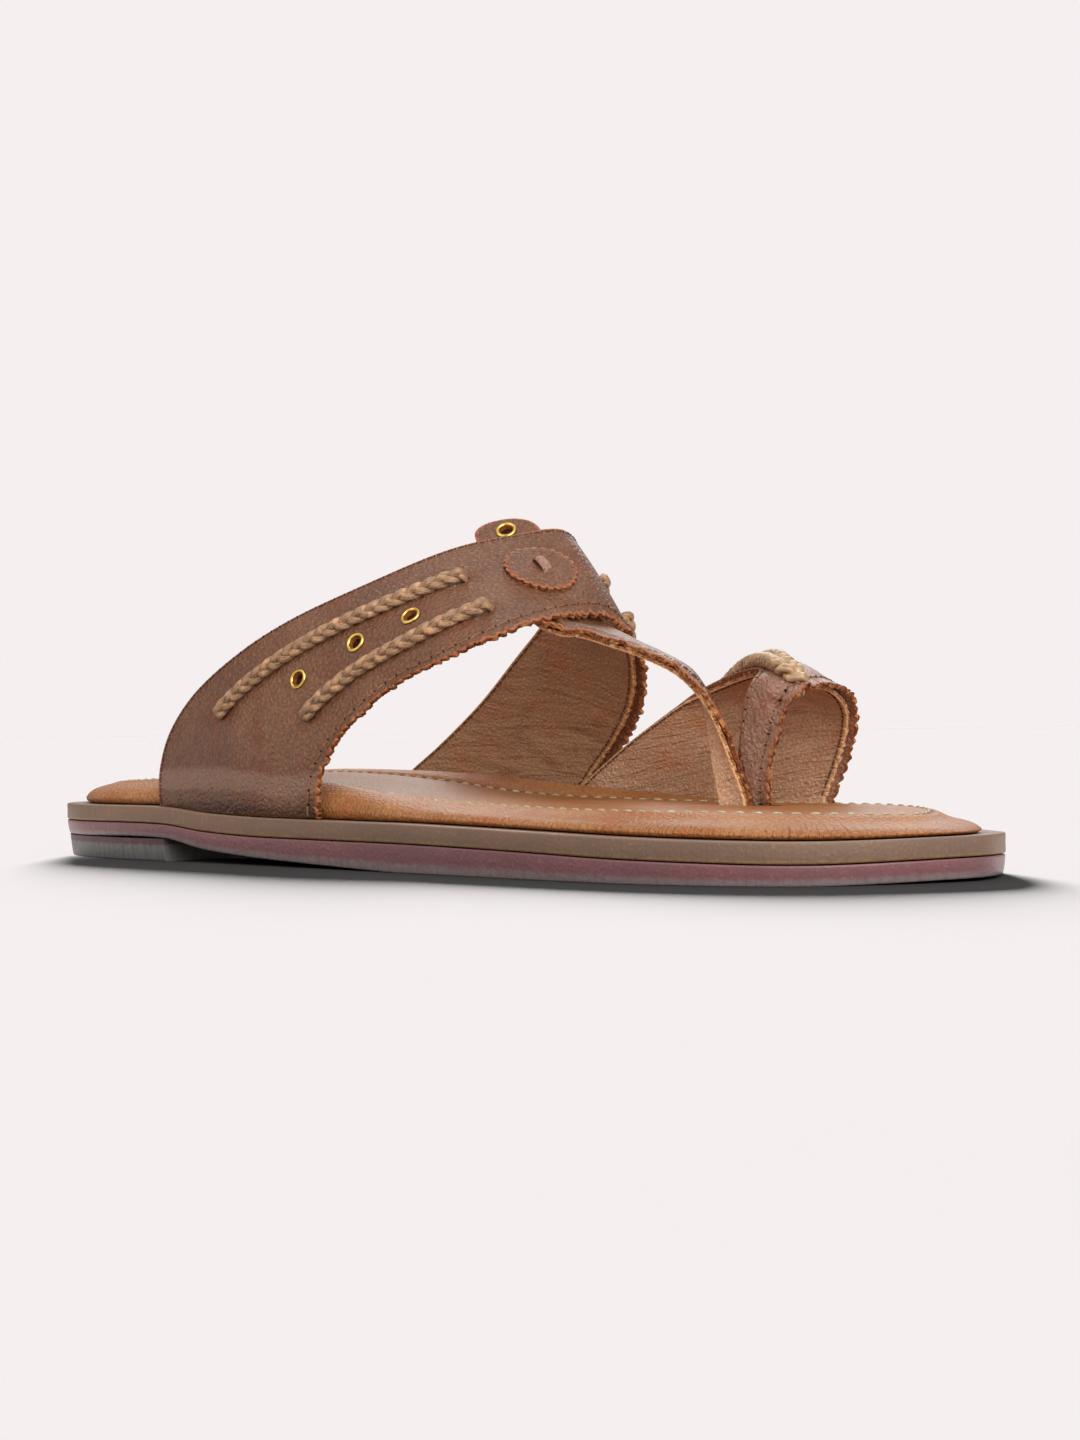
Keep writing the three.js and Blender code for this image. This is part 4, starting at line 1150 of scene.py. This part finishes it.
def plate(name, surface, at, rim_at, low, high, materials, rings=7, dome=0.0):
    """A small plate on a surface; rim_at gives its rim in millimetres along and across."""
    u0, v0 = at
    step = 0.01
    ahead = surface.point(u0 + step, v0) - surface.point(u0 - step, v0)
    aside = surface.point(u0, v0 + step) - surface.point(u0, v0 - step)
    along, across = (np.linalg.norm(way) / (2 * step) for way in (ahead, aside))
    count = len(rim_at)
    shares = 1 - np.linspace(1, 0, rings) ** 1.6
    worn_from, worn_depth = 0.93, 0.25
    vertices, edge = [], []
    for height in (high, low):
        for share in shares:
            u, v = u0 + rim_at[:, 0] * share / along, v0 + rim_at[:, 1] * share / across
            worn = max(0, share - worn_from) / (1 - worn_from) if height == high else 0
            lift = height + dome * (1 - share**2) - worn_depth * worn
            vertices.append(surface.raised(u, v, lift))
            edge.append(np.full(count, (1 - share) * np.abs(rim_at).max()))
    faces, face_looks = [], []
    size = rings * count
    for half in (0, 1):
        for ring in range(rings - 1):
            first = half * size + ring * count
            for k in range(count):
                a, b = first + k, first + (k + 1) % count
                quad = (a, b, b + count, a + count)
                faces.append(quad if half else quad[::-1])
                face_looks.append(0)
    for k in range(count):
        a, b = (rings - 1) * count + k, (rings - 1) * count + (k + 1) % count
        faces.append((a, b, b + size, a + size))
        face_looks.append(1)
    skin = np.tile(np.concatenate([rim_at * share for share in shares]), (2, 1))
    fields = {"edge": np.concatenate(edge)}
    return new_piece(name, np.concatenate(vertices), faces, materials, face_looks, fields, skin)


def make_disc(look):
    """Pinked disc on the crown of the band."""
    teeth, tooth, steps_each = 26, 0.75, 8
    turn = np.linspace(0, 2 * np.pi, teeth * steps_each + 1)[:-1]
    radius = bpy.context.scene.sandal_sizes.disc_diameter / MM / 2
    radius = radius - tooth * (1 - np.abs(np.sin(teeth / 2 * turn)) ** 0.7)
    rim_at = np.stack([radius * np.cos(turn), radius * np.sin(turn)], 1)
    looks = [look["upper"], look["raw"]]
    foot, face = 0.05, 1.35
    disc = plate("disc_leather", band, DISC_AT, rim_at, foot, face, looks, dome=0.25)
    settle(disc, "upper_leather", "disc", sharp=45)


def make_disc_lace(look):
    """Short flat lace that passes through the disc and dips into it at both ends."""
    steps, half, width, thickness = 14, 2.9, 1.4, 0.45
    t = np.linspace(-1, 1, steps)
    scale = band.width(np.array([DISC_AT[0]]))[0]
    v = DISC_AT[1] + t * half / scale
    lift = 1.9 + 0.8 * (1 - t**4) - 1.1 * (np.abs(t) > 0.9)
    u = np.full(steps, DISC_AT[0])
    centre = band.raised(u, v, lift)
    up = band.normal(u, v)
    along = unit(np.gradient(centre, axis=0))
    radii = np.full(steps, width), np.full(steps, thickness)
    bar = (centre, unit(np.cross(along, up)), up, *radii)
    settle(tubes("disc_lace", [bar], [look["ring"]], sides=12), "upper_leather")


def make_tab(look):
    """Rounded tab that stands up behind the band's rear edge."""
    half, above, below = 8, 7.8, 4.0
    turn = np.linspace(0, 2 * np.pi, 121)[:-1]
    sine = np.sin(turn)
    reach = np.where(sine < 0, above, below) * np.sign(sine) * np.abs(sine) ** 0.8
    rim_at = np.stack([half * np.cos(turn), reach], 1)
    looks = [look["upper"], look["pale_raw"]]
    inner_face, outer_face = -2.5, -0.5
    tab = plate("tab_leather", tab_leather, (TAB_AT, 0.0), rim_at, inner_face, outer_face, looks)
    punch(tab, punches(tab_leather, [(TAB_AT, TAB_EYELET)], 0, EYELET_HOLE, look["hole_shade"]))
    settle(tab, "upper_leather", sharp=45)


def plait_paths(
    surface, route, lift, wide, high, sway, heave, cycle, spacing, dive, past=0.0, lean=0.0,
):
    """Three strands of a plait along a route of rows and widths, laid on a surface.

    Wide and high are a strand's radii, sway and heave how far it swings sideways and up, and
    cycle the length of one swing. Dive is the length over which the plait sinks into the
    leather at both ends, and past how far it goes beyond the route's ends. All of these are
    in millimetres. Lean turns its flat face from the surface's normal, in degrees.
    """
    strands, buried, slimmed = 3, 1.7, 0.45
    route = np.asarray(route, float)
    fine = np.linspace(0, 1, 900)
    at = np.linspace(0, 1, len(route))
    u, v = np.interp(fine, at, route[:, 0]), np.interp(fine, at, route[:, 1])
    if len(route) > 2:
        smooth = Curve(np.column_stack([route * 100, 0 * route[:, 0]])).at(fine) / 100
        u, v = smooth[:, 0], smooth[:, 1]
    run = distances(surface.raised(u, v, lift))
    if past:
        reach = past / run[-1] * (len(fine) - 1)
        u = np.concatenate([[u[0] - (u[1] - u[0]) * reach], u, [u[-1] + (u[-1] - u[-2]) * reach]])
        v = np.concatenate([[v[0] - (v[1] - v[0]) * reach], v, [v[-1] + (v[-1] - v[-2]) * reach]])
        run = np.concatenate([[0], run + past, [run[-1] + 2 * past]])
    marks = np.linspace(0, run[-1], int(run[-1] / spacing) + 1)
    u, v = np.interp(marks, run, u), np.interp(marks, run, v)
    up = surface.normal(u, v)
    end = np.minimum(marks, run[-1] - marks)
    sink = np.clip(1 - end / dive, 0, 1) ** 2
    centre = surface.raised(u, v, lift - sink * (lift + buried))
    along = unit(np.gradient(centre, axis=0))
    flat_side = unit(np.cross(along, up))
    square = unit(np.cross(flat_side, along))
    turn = math.radians(lean)
    across = flat_side * math.cos(turn) - square * math.sin(turn)
    upright = square * math.cos(turn) + flat_side * math.sin(turn)
    slim = 1 - slimmed * sink
    paths = []
    for strand in range(strands):
        phase = 2 * np.pi * (marks / cycle + strand / strands)
        swung = across * (sway * slim * np.sin(phase))[:, None]
        heaved = upright * (heave * slim * np.sin(2 * phase))[:, None]
        path = centre + swung + heaved
        way = unit(np.gradient(path, axis=0))
        side_way = unit(np.cross(way, upright))
        paths.append((path, side_way, unit(np.cross(side_way, way)), wide * slim, high * slim))
    return paths, run[-1]


def make_cords(look):
    """Four plaited cords sewn down on the band."""
    width = bpy.context.scene.sandal_sizes.cord_width / MM
    for name, begin, finish_at in CORDS:
        paths, reach = plait_paths(
            band, (begin, finish_at), lift=0.42 * width, wide=0.28 * width, high=0.17 * width,
            sway=0.27 * width, heave=0.19 * width, cycle=11.4, spacing=0.36,
            dive=2.0, past=1.6, lean=-40 if "inner" in name else 40,
        )
        # Slits where the cord goes in are sunk slivers painted dark as shade
        slits = [slit(begin, finish_at, reach), slit(finish_at, begin, reach)]
        looks = [0] * len(paths) + [1, 1]
        piece = tubes("plaited_" + name, paths + slits, [look["cord"], look["hole_shade"]], 10, looks)
        settle(piece, "cord", name)


def slit(end, other, reach):
    """The small cut in the band for a cord of this length: a sunk sliver of painted shade."""
    beyond = np.array([0.5, 1.2, 2.0, 2.8]) / reach
    wide = np.array([0.5, 1.3, 1.0, 0.3])
    depth, flatness = 0.75, 0.3
    u, v = (end[k] + (end[k] - other[k]) * beyond for k in (0, 1))
    centre, up = band.raised(u, v, -depth), band.normal(u, v)
    along = unit(np.gradient(centre, axis=0))
    return centre, unit(np.cross(along, up)), up, wide, flatness * wide


def make_plait(look):
    """Glossy plait that lies over the toe ring."""
    radius = 1.35
    paths, _ = plait_paths(
        toe_ring, PLAIT_RUN, lift=WALL / 2 + radius, wide=radius, high=1.0, sway=2.0, heave=0.95,
        cycle=8.1, spacing=0.4, dive=3.0,
    )
    settle(tubes("plaited_toe_braid", paths, [look["plait"]], 14), "cord", "toe_braid")


def make_eyelets(look):
    """Brass eyelets: a rolled flange, and a barrel whose bottom is a disc painted as shade."""
    flange = bpy.context.scene.sandal_sizes.eyelet_flange / MM / 2
    hole = 0.66 * flange
    turn = np.linspace(0, np.pi, 13)
    middle, half = (flange + hole) / 2, (flange - hole) / 2
    rolled = [(middle - half * math.cos(a), 0.12 + 0.95 * half * math.sin(a)) for a in turn]
    barrel = [(hole + 0.3, 0.02), (hole + 0.28, -0.5), (hole + 0.28, -1.2)]
    profile = [(hole, -1.2), (hole, -0.5)] + rolled + barrel
    sides, count = 44, len(profile)
    places = [(name, u, v, band, 0.0) for name, u, v in EYELETS]
    places.append(("eyelet_tab", TAB_AT, TAB_EYELET, tab_leather, -0.45))
    for name, u, v, surface, seat in places:
        centre, up = surface.point(u, v), surface.normal(u, v)
        ring = circle(up, sides)
        vertices = [centre + ring * radius + up * (height + seat) for radius, height in profile]
        faces = []
        for j in range(count):
            this, following = j * sides, (j + 1) % count * sides
            for k in range(sides):
                beside = (k + 1) % sides
                faces.append((this + k, this + beside, following + beside, following + k))
        # The disc that closes the barrel is painted dark as the shade in the hole
        looks = [0] * len(faces) + [1]
        faces.append(tuple(range(sides)))
        corners = np.concatenate(vertices)
        brass = new_piece("brass_" + name, corners, faces, [look["brass"], look["hole_shade"]], looks)
        settle(brass, "brass", name, sharp=60)


def stitch(centre, up, thread):
    """Path of one stitch through the places of its marks."""
    side_way = unit(np.cross(unit(np.gradient(centre, axis=0)), up))
    radius = thread * STITCH_THICKNESS
    return centre, side_way, up, radius, radius


def seam(surface, lift, inset, length, gap=0.9, thread=0.2, rear=False, under=False, rows=(0, 1)):
    """Stitches a set distance in from a strap's edge, and the holes between them."""
    fine = np.linspace(*rows, 1600)
    width = surface.width(fine)
    v = inset / width if rear else 1 - inset / width
    run = distances(surface.raised(fine, v, lift))
    outwards = -1 if under else 1
    paths, holes, place = [], [], 0.4
    while place + length < run[-1]:
        marks = place + length * STITCH_MARKS
        u, across = np.interp(marks, run, fine), np.interp(marks, run, v)
        centre = surface.raised(u, across, lift + STITCH_BOW * outwards)
        up = unit(surface.raised(u, across, lift + 1) - surface.raised(u, across, lift))
        paths.append(stitch(centre, up, thread))
        # Each needle hole is a sunk pit painted dark as the shade inside it
        spot = place + length + gap / 2
        hole_u, hole_v = (np.full(2, np.interp(spot, run, values)) for values in (fine, v))
        pit = surface.raised(hole_u, hole_v, lift + HOLE_REACH * outwards)
        way = unit(np.gradient(centre, axis=0))
        radius = np.full(2, NEEDLE)
        holes.append((pit, way[-2:], paths[-1][1][-2:], radius, radius))
        place += length + gap
    return paths, holes


def footbed_seam(inset=16.95, sunk=-0.26, length=2.6, gap=1.6, thread=0.3):
    """Cream stitches along the footbed's channel, and no holes."""
    x, y = rim(np.linspace(0.02, 0.98, 2400), inset)
    line = np.stack([x, y, pad_height(x, y, 1, 1, sunk)], 1)
    run = distances(line)
    bow = np.array([-0.5, 0.05, 0.16, 0.16, 0.05, -0.5])
    up = np.tile([0.0, 0, 1], (6, 1))
    paths, place = [], 0.0
    while place + length < run[-1]:
        marks = place + length * STITCH_MARKS
        centre = np.stack([np.interp(marks, run, line[:, k]) for k in range(3)], 1)
        centre[:, 2] += bow
        paths.append(stitch(centre, up, thread))
        place += length + gap
    return paths, []


def make_stitches(look):
    """All visible seams: band, toe strap, toe ring and footbed."""
    length = bpy.context.scene.sandal_sizes.stitch_length / MM
    shape, ring, strap = Trimmed(band), Trimmed(toe_ring), Trimmed(toe_strap, first=False)
    front = {"length": 1.8, "gap": 1.0, "thread": 0.22}
    rear = {**front, "rear": True}
    over, below, inside = WALL / 2, -WALL / 2 - 0.05, -WALL - 0.05
    rows = (
        ("stitches_band_front", [seam(shape, 0, 3.1, length)], "thread"),
        ("stitches_band_rear", [seam(shape, 0, 1.0, **rear)], "dark_thread"),
        ("stitches_band_lining", [
            seam(shape, inside, 4.2, under=True, **front),
            seam(shape, inside, 1.3, under=True, **rear),
        ], "dark_thread"),
        ("stitches_ring", [seam(ring, over, 3.0, **front), seam(ring, over, 1.3, **rear)], "thread"),
        ("stitches_ring_lining", [
            seam(ring, below, 2.6, under=True, **front),
            seam(ring, below, 1.3, under=True, **rear),
        ], "dark_thread"),
        ("stitches_strap", [seam(strap, over, 2.4, rows=(0.3, 0.6), **front)], "dark_thread"),
        ("stitches_footbed", [footbed_seam()], "cream_thread"),
    )
    for name, seams, thread in rows:
        threads = [path for paths, _ in seams for path in paths]
        holes = [path for _, paths in seams for path in paths]
        looks = [0] * len(threads) + [1] * len(holes)
        piece = tubes(name, threads + holes, [look[thread], look["hole_shade"]], 6, looks)
        settle(piece, "thread")


# Stage
# Half width of the floor in metres, and the share of the backdrop's colour that brings the
# lit floor to it
FLOOR_SIZE = 60.0
FLOOR_SHARE = 0.0598

# Even part of the world and its soft panels: azimuth, elevation, half width, glow.
# Azimuth 42 is the camera's side.
WORLD_DIM = 0.34
PANELS = ((42, 88, 58, 0.9), (80, 30, 40, 1.9), (-20, 38, 34, 1.7), (62, 6, 26, 1.9))

# Suns: name, strength, spread, azimuth, elevation and what each lights. The low one behind
# the sandal lights the floor alone, where the sole throws a short shadow towards the camera.
SUNS = (
    ("key", 1.3, 50, 62, 36, "all"),
    ("rim", 0.7, 40, 215, 34, "all"),
    ("shadow", 224.0, 15, 227, 12.6, "floor"),
)


def direction(azimuth, elevation):
    """Unit vector towards an azimuth, counted like the camera's, and an elevation."""
    a, e = math.radians(azimuth), math.radians(elevation)
    return (math.sin(a) * math.cos(e), -math.cos(a) * math.cos(e), math.sin(e))


def make_floor():
    """Wide pale floor of matt paper, and the receiver of the low sun."""
    mesh = bpy.data.meshes.new("floor")
    corners = [(x * FLOOR_SIZE, y * FLOOR_SIZE, 0) for x, y in ((-1, -1), (1, -1), (1, 1), (-1, 1))]
    mesh.from_pydata(corners, [], [(0, 1, 2, 3)])
    floor = bpy.data.objects.new("floor", mesh)
    bpy.context.scene.collection.objects.link(floor)
    material, tree, shader, place, _ = start("matt_paper", Roughness=1.0, Specular_IOR_Level=0.0)
    paper = spots(tree, place, 0, (90,) * 3)
    tone = dimmed(bpy.context.scene.sandal_colours.backdrop, FLOOR_SHARE)
    mottle = laid(tree, tone, dimmed(tone, 0.995), paper, 0.3, 0.7)
    tree.links.new(mottle, shader.inputs["Base Color"])
    mesh.materials.append(material)
    shared_group("floor_only").objects.link(floor)


def make_light():
    """Soft studio world, whose panels the camera does not see, and the suns."""
    scene = bpy.context.scene
    world = bpy.data.worlds.new("studio")
    world.use_nodes = True
    scene.world = world
    tree = world.node_tree
    tree.nodes.clear()
    way = add(tree, "TexCoord").outputs["Generated"]
    soft = (WORLD_DIM,) * 3
    for azimuth, elevation, wide, glow in PANELS:
        ways = {0: way, 1: direction(azimuth, elevation)}
        facing = add(tree, "VectorMath", ways, operation="DOT_PRODUCT").outputs["Value"]
        soft = laid(tree, soft, (glow,) * 3, facing, math.cos(math.radians(wide)), 1.0)
    seen = add(tree, "LightPath").outputs["Is Camera Ray"]
    shown = laid(tree, soft, tuple(scene.sandal_colours.backdrop), seen, 0.0, 1.0)
    sky = add(tree, "Background", {"Color": shown, "Strength": 1.0})
    out = add(tree, "OutputWorld")
    tree.links.new(sky.outputs[0], out.inputs[0])
    for name, strength, spread, azimuth, elevation, receiver in SUNS:
        light = bpy.data.lights.new(name, "SUN")
        light.energy, light.angle = strength, math.radians(spread)
        lamp = bpy.data.objects.new(name, light)
        lamp.rotation_euler = (math.radians(90 - elevation), 0, math.radians(azimuth))
        scene.collection.objects.link(lamp)
        if receiver == "floor":
            lamp.light_linking.receiver_collection = shared_group("floor_only")
            lamp.light_linking.blocker_collection = shared_group("sole_only")


def make_camera():
    """Camera at the photograph's place and angle, and plain colours in the picture."""
    scene = bpy.context.scene
    azimuth, roll = math.radians(CAMERA_AZIMUTH), math.radians(CAMERA_ROLL)
    back = Vector(direction(CAMERA_AZIMUTH, CAMERA_PITCH))
    right = Vector((math.cos(azimuth), math.sin(azimuth), 0))
    upward = back.cross(right)
    level = right * math.cos(roll) - upward * math.sin(roll)
    head = right * math.sin(roll) + upward * math.cos(roll)
    view = bpy.data.cameras.new("camera")
    view.sensor_width = SENSOR
    view.lens = CAMERA_FOCUS * SENSOR / IMAGE_LONG_SIDE
    camera = bpy.data.objects.new("camera", view)
    spot = (Vector(CAMERA_PLACE) + Vector(SHIFT)) * MM
    camera.matrix_world = Matrix.Translation(spot) @ Matrix((level, head, back)).transposed().to_4x4()
    scene.collection.objects.link(camera)
    scene.camera = camera
    scene.view_settings.view_transform = "Standard"


# Add-on
def tint(name, text, about):
    """A colour that the user can change."""
    return FloatVectorProperty(
        name=name, description=about, default=srgb(text), subtype="COLOR", size=3, min=0, max=1,
    )


def measure(name, millimetres, about):
    """A length that the user can change."""
    return FloatProperty(
        name=name, description=about, default=millimetres * MM, subtype="DISTANCE", unit="LENGTH",
        min=0.0001,
    )


class SandalColours(bpy.types.PropertyGroup):
    """Colours of the sandal's materials."""
    upper: tint("Upper", "#74492F", "Outer leather of band, strap, tab and disc")
    lining: tint("Lining", "#AC7E5A", "Lining leather inside the band")
    footbed: tint("Footbed", "#A76B39", "Leather over the padded footbed")
    welt: tint("Welt", "#856651", "Burnished edge between footbed and outsole")
    outsole: tint("Outsole", "#8A5C5D", "Rubber of the outsole")
    heel: tint("Heel", "#787572", "Rubber of the heel lift")
    cord: tint("Cord", "#A67B56", "Waxed cord on the band")
    brass: tint("Brass", "#F0CB6E", "Eyelets")
    backdrop: tint("Backdrop", "#F5EFEF", "Floor and background")


class SandalSizes(bpy.types.PropertyGroup):
    """Sizes of the sandal's trims."""
    pink_pitch: measure("Pinking pitch", 2.7, "From one tooth of the pinked edge to the next")
    pink_depth: measure("Pinking depth", 1.0, "Depth of the teeth")
    stitch_length: measure("Stitch", 2.7, "Length of one stitch on the band")
    cord_width: measure("Cord", 3.5, "Width of the plaited cords")
    eyelet_flange: measure("Eyelet", 5.4, "Diameter of the eyelets' flanges")
    disc_diameter: measure("Disc", 17.0, "Diameter of the pinked disc")


class SANDAL_OT_stage(bpy.types.Operator):
    """Adds the floor, the light and the camera"""
    bl_idname = "sandal.stage"
    bl_label = "Stage"

    def execute(self, context):
        make_floor()
        make_light()
        make_camera()
        return {"FINISHED"}


class SANDAL_OT_sole(bpy.types.Operator):
    """Adds the outsole, the heel lift and the welt"""
    bl_idname = "sandal.sole"
    bl_label = "Sole"

    def execute(self, context):
        make_sole(finishes())
        return {"FINISHED"}


class SANDAL_OT_footbed(bpy.types.Operator):
    """Adds the padded footbed with its slot"""
    bl_idname = "sandal.footbed"
    bl_label = "Footbed"

    def execute(self, context):
        make_footbed(finishes())
        return {"FINISHED"}


class SANDAL_OT_band(bpy.types.Operator):
    """Adds the band's outer leather and lining"""
    bl_idname = "sandal.band"
    bl_label = "Instep band"

    def execute(self, context):
        make_band(finishes())
        return {"FINISHED"}


class SANDAL_OT_toe_straps(bpy.types.Operator):
    """Adds the toe strap and the toe ring"""
    bl_idname = "sandal.toe_straps"
    bl_label = "Toe strap and ring"

    def execute(self, context):
        make_toe_straps(finishes())
        return {"FINISHED"}


class SANDAL_OT_trims(bpy.types.Operator):
    """Adds the pinked disc, its lace and the tab"""
    bl_idname = "sandal.trims"
    bl_label = "Disc and tab"

    def execute(self, context):
        look = finishes()
        make_disc(look)
        make_disc_lace(look)
        make_tab(look)
        return {"FINISHED"}


class SANDAL_OT_cords(bpy.types.Operator):
    """Adds the four cords sewn on the band"""
    bl_idname = "sandal.cords"
    bl_label = "Plaited cords"

    def execute(self, context):
        make_cords(finishes())
        return {"FINISHED"}


class SANDAL_OT_plait(bpy.types.Operator):
    """Adds the plait on the toe ring"""
    bl_idname = "sandal.plait"
    bl_label = "Toe plait"

    def execute(self, context):
        make_plait(finishes())
        return {"FINISHED"}


class SANDAL_OT_eyelets(bpy.types.Operator):
    """Adds the brass eyelets"""
    bl_idname = "sandal.eyelets"
    bl_label = "Eyelets"

    def execute(self, context):
        make_eyelets(finishes())
        return {"FINISHED"}


class SANDAL_OT_stitches(bpy.types.Operator):
    """Adds the visible seams"""
    bl_idname = "sandal.stitches"
    bl_label = "Stitches"

    def execute(self, context):
        make_stitches(finishes())
        return {"FINISHED"}


class SANDAL_PT_panel(bpy.types.Panel):
    """Sizes, colours and pieces of the sandal"""
    bl_label = "Toe ring sandal"
    bl_idname = "SANDAL_PT_panel"
    bl_space_type = "VIEW_3D"
    bl_region_type = "UI"
    bl_category = "Sandal"

    def draw(self, context):
        for group in (context.scene.sandal_sizes, context.scene.sandal_colours):
            for name in group.__annotations__:
                self.layout.prop(group, name)
        for operator in OPERATORS:
            self.layout.operator(operator.bl_idname)


OPERATORS = (
    SANDAL_OT_sole, SANDAL_OT_footbed, SANDAL_OT_band, SANDAL_OT_toe_straps, SANDAL_OT_trims,
    SANDAL_OT_cords, SANDAL_OT_plait, SANDAL_OT_eyelets, SANDAL_OT_stitches, SANDAL_OT_stage,
)
CLASSES = (SandalColours, SandalSizes, *OPERATORS, SANDAL_PT_panel)


def register():
    """Adds the classes and the scene's settings."""
    for each in CLASSES:
        bpy.utils.register_class(each)
    bpy.types.Scene.sandal_colours = PointerProperty(type=SandalColours)
    bpy.types.Scene.sandal_sizes = PointerProperty(type=SandalSizes)


def unregister():
    """Removes the settings and the classes."""
    del bpy.types.Scene.sandal_sizes
    del bpy.types.Scene.sandal_colours
    for each in reversed(CLASSES):
        bpy.utils.unregister_class(each)


def main():
    """Builds the whole sandal."""
    register()
    bpy.ops.sandal.sole()
    bpy.ops.sandal.footbed()
    bpy.ops.sandal.band()
    bpy.ops.sandal.toe_straps()
    bpy.ops.sandal.trims()
    bpy.ops.sandal.cords()
    bpy.ops.sandal.plait()
    bpy.ops.sandal.eyelets()
    bpy.ops.sandal.stitches()
    bpy.ops.sandal.stage()


if __name__ == "__main__":
    main()
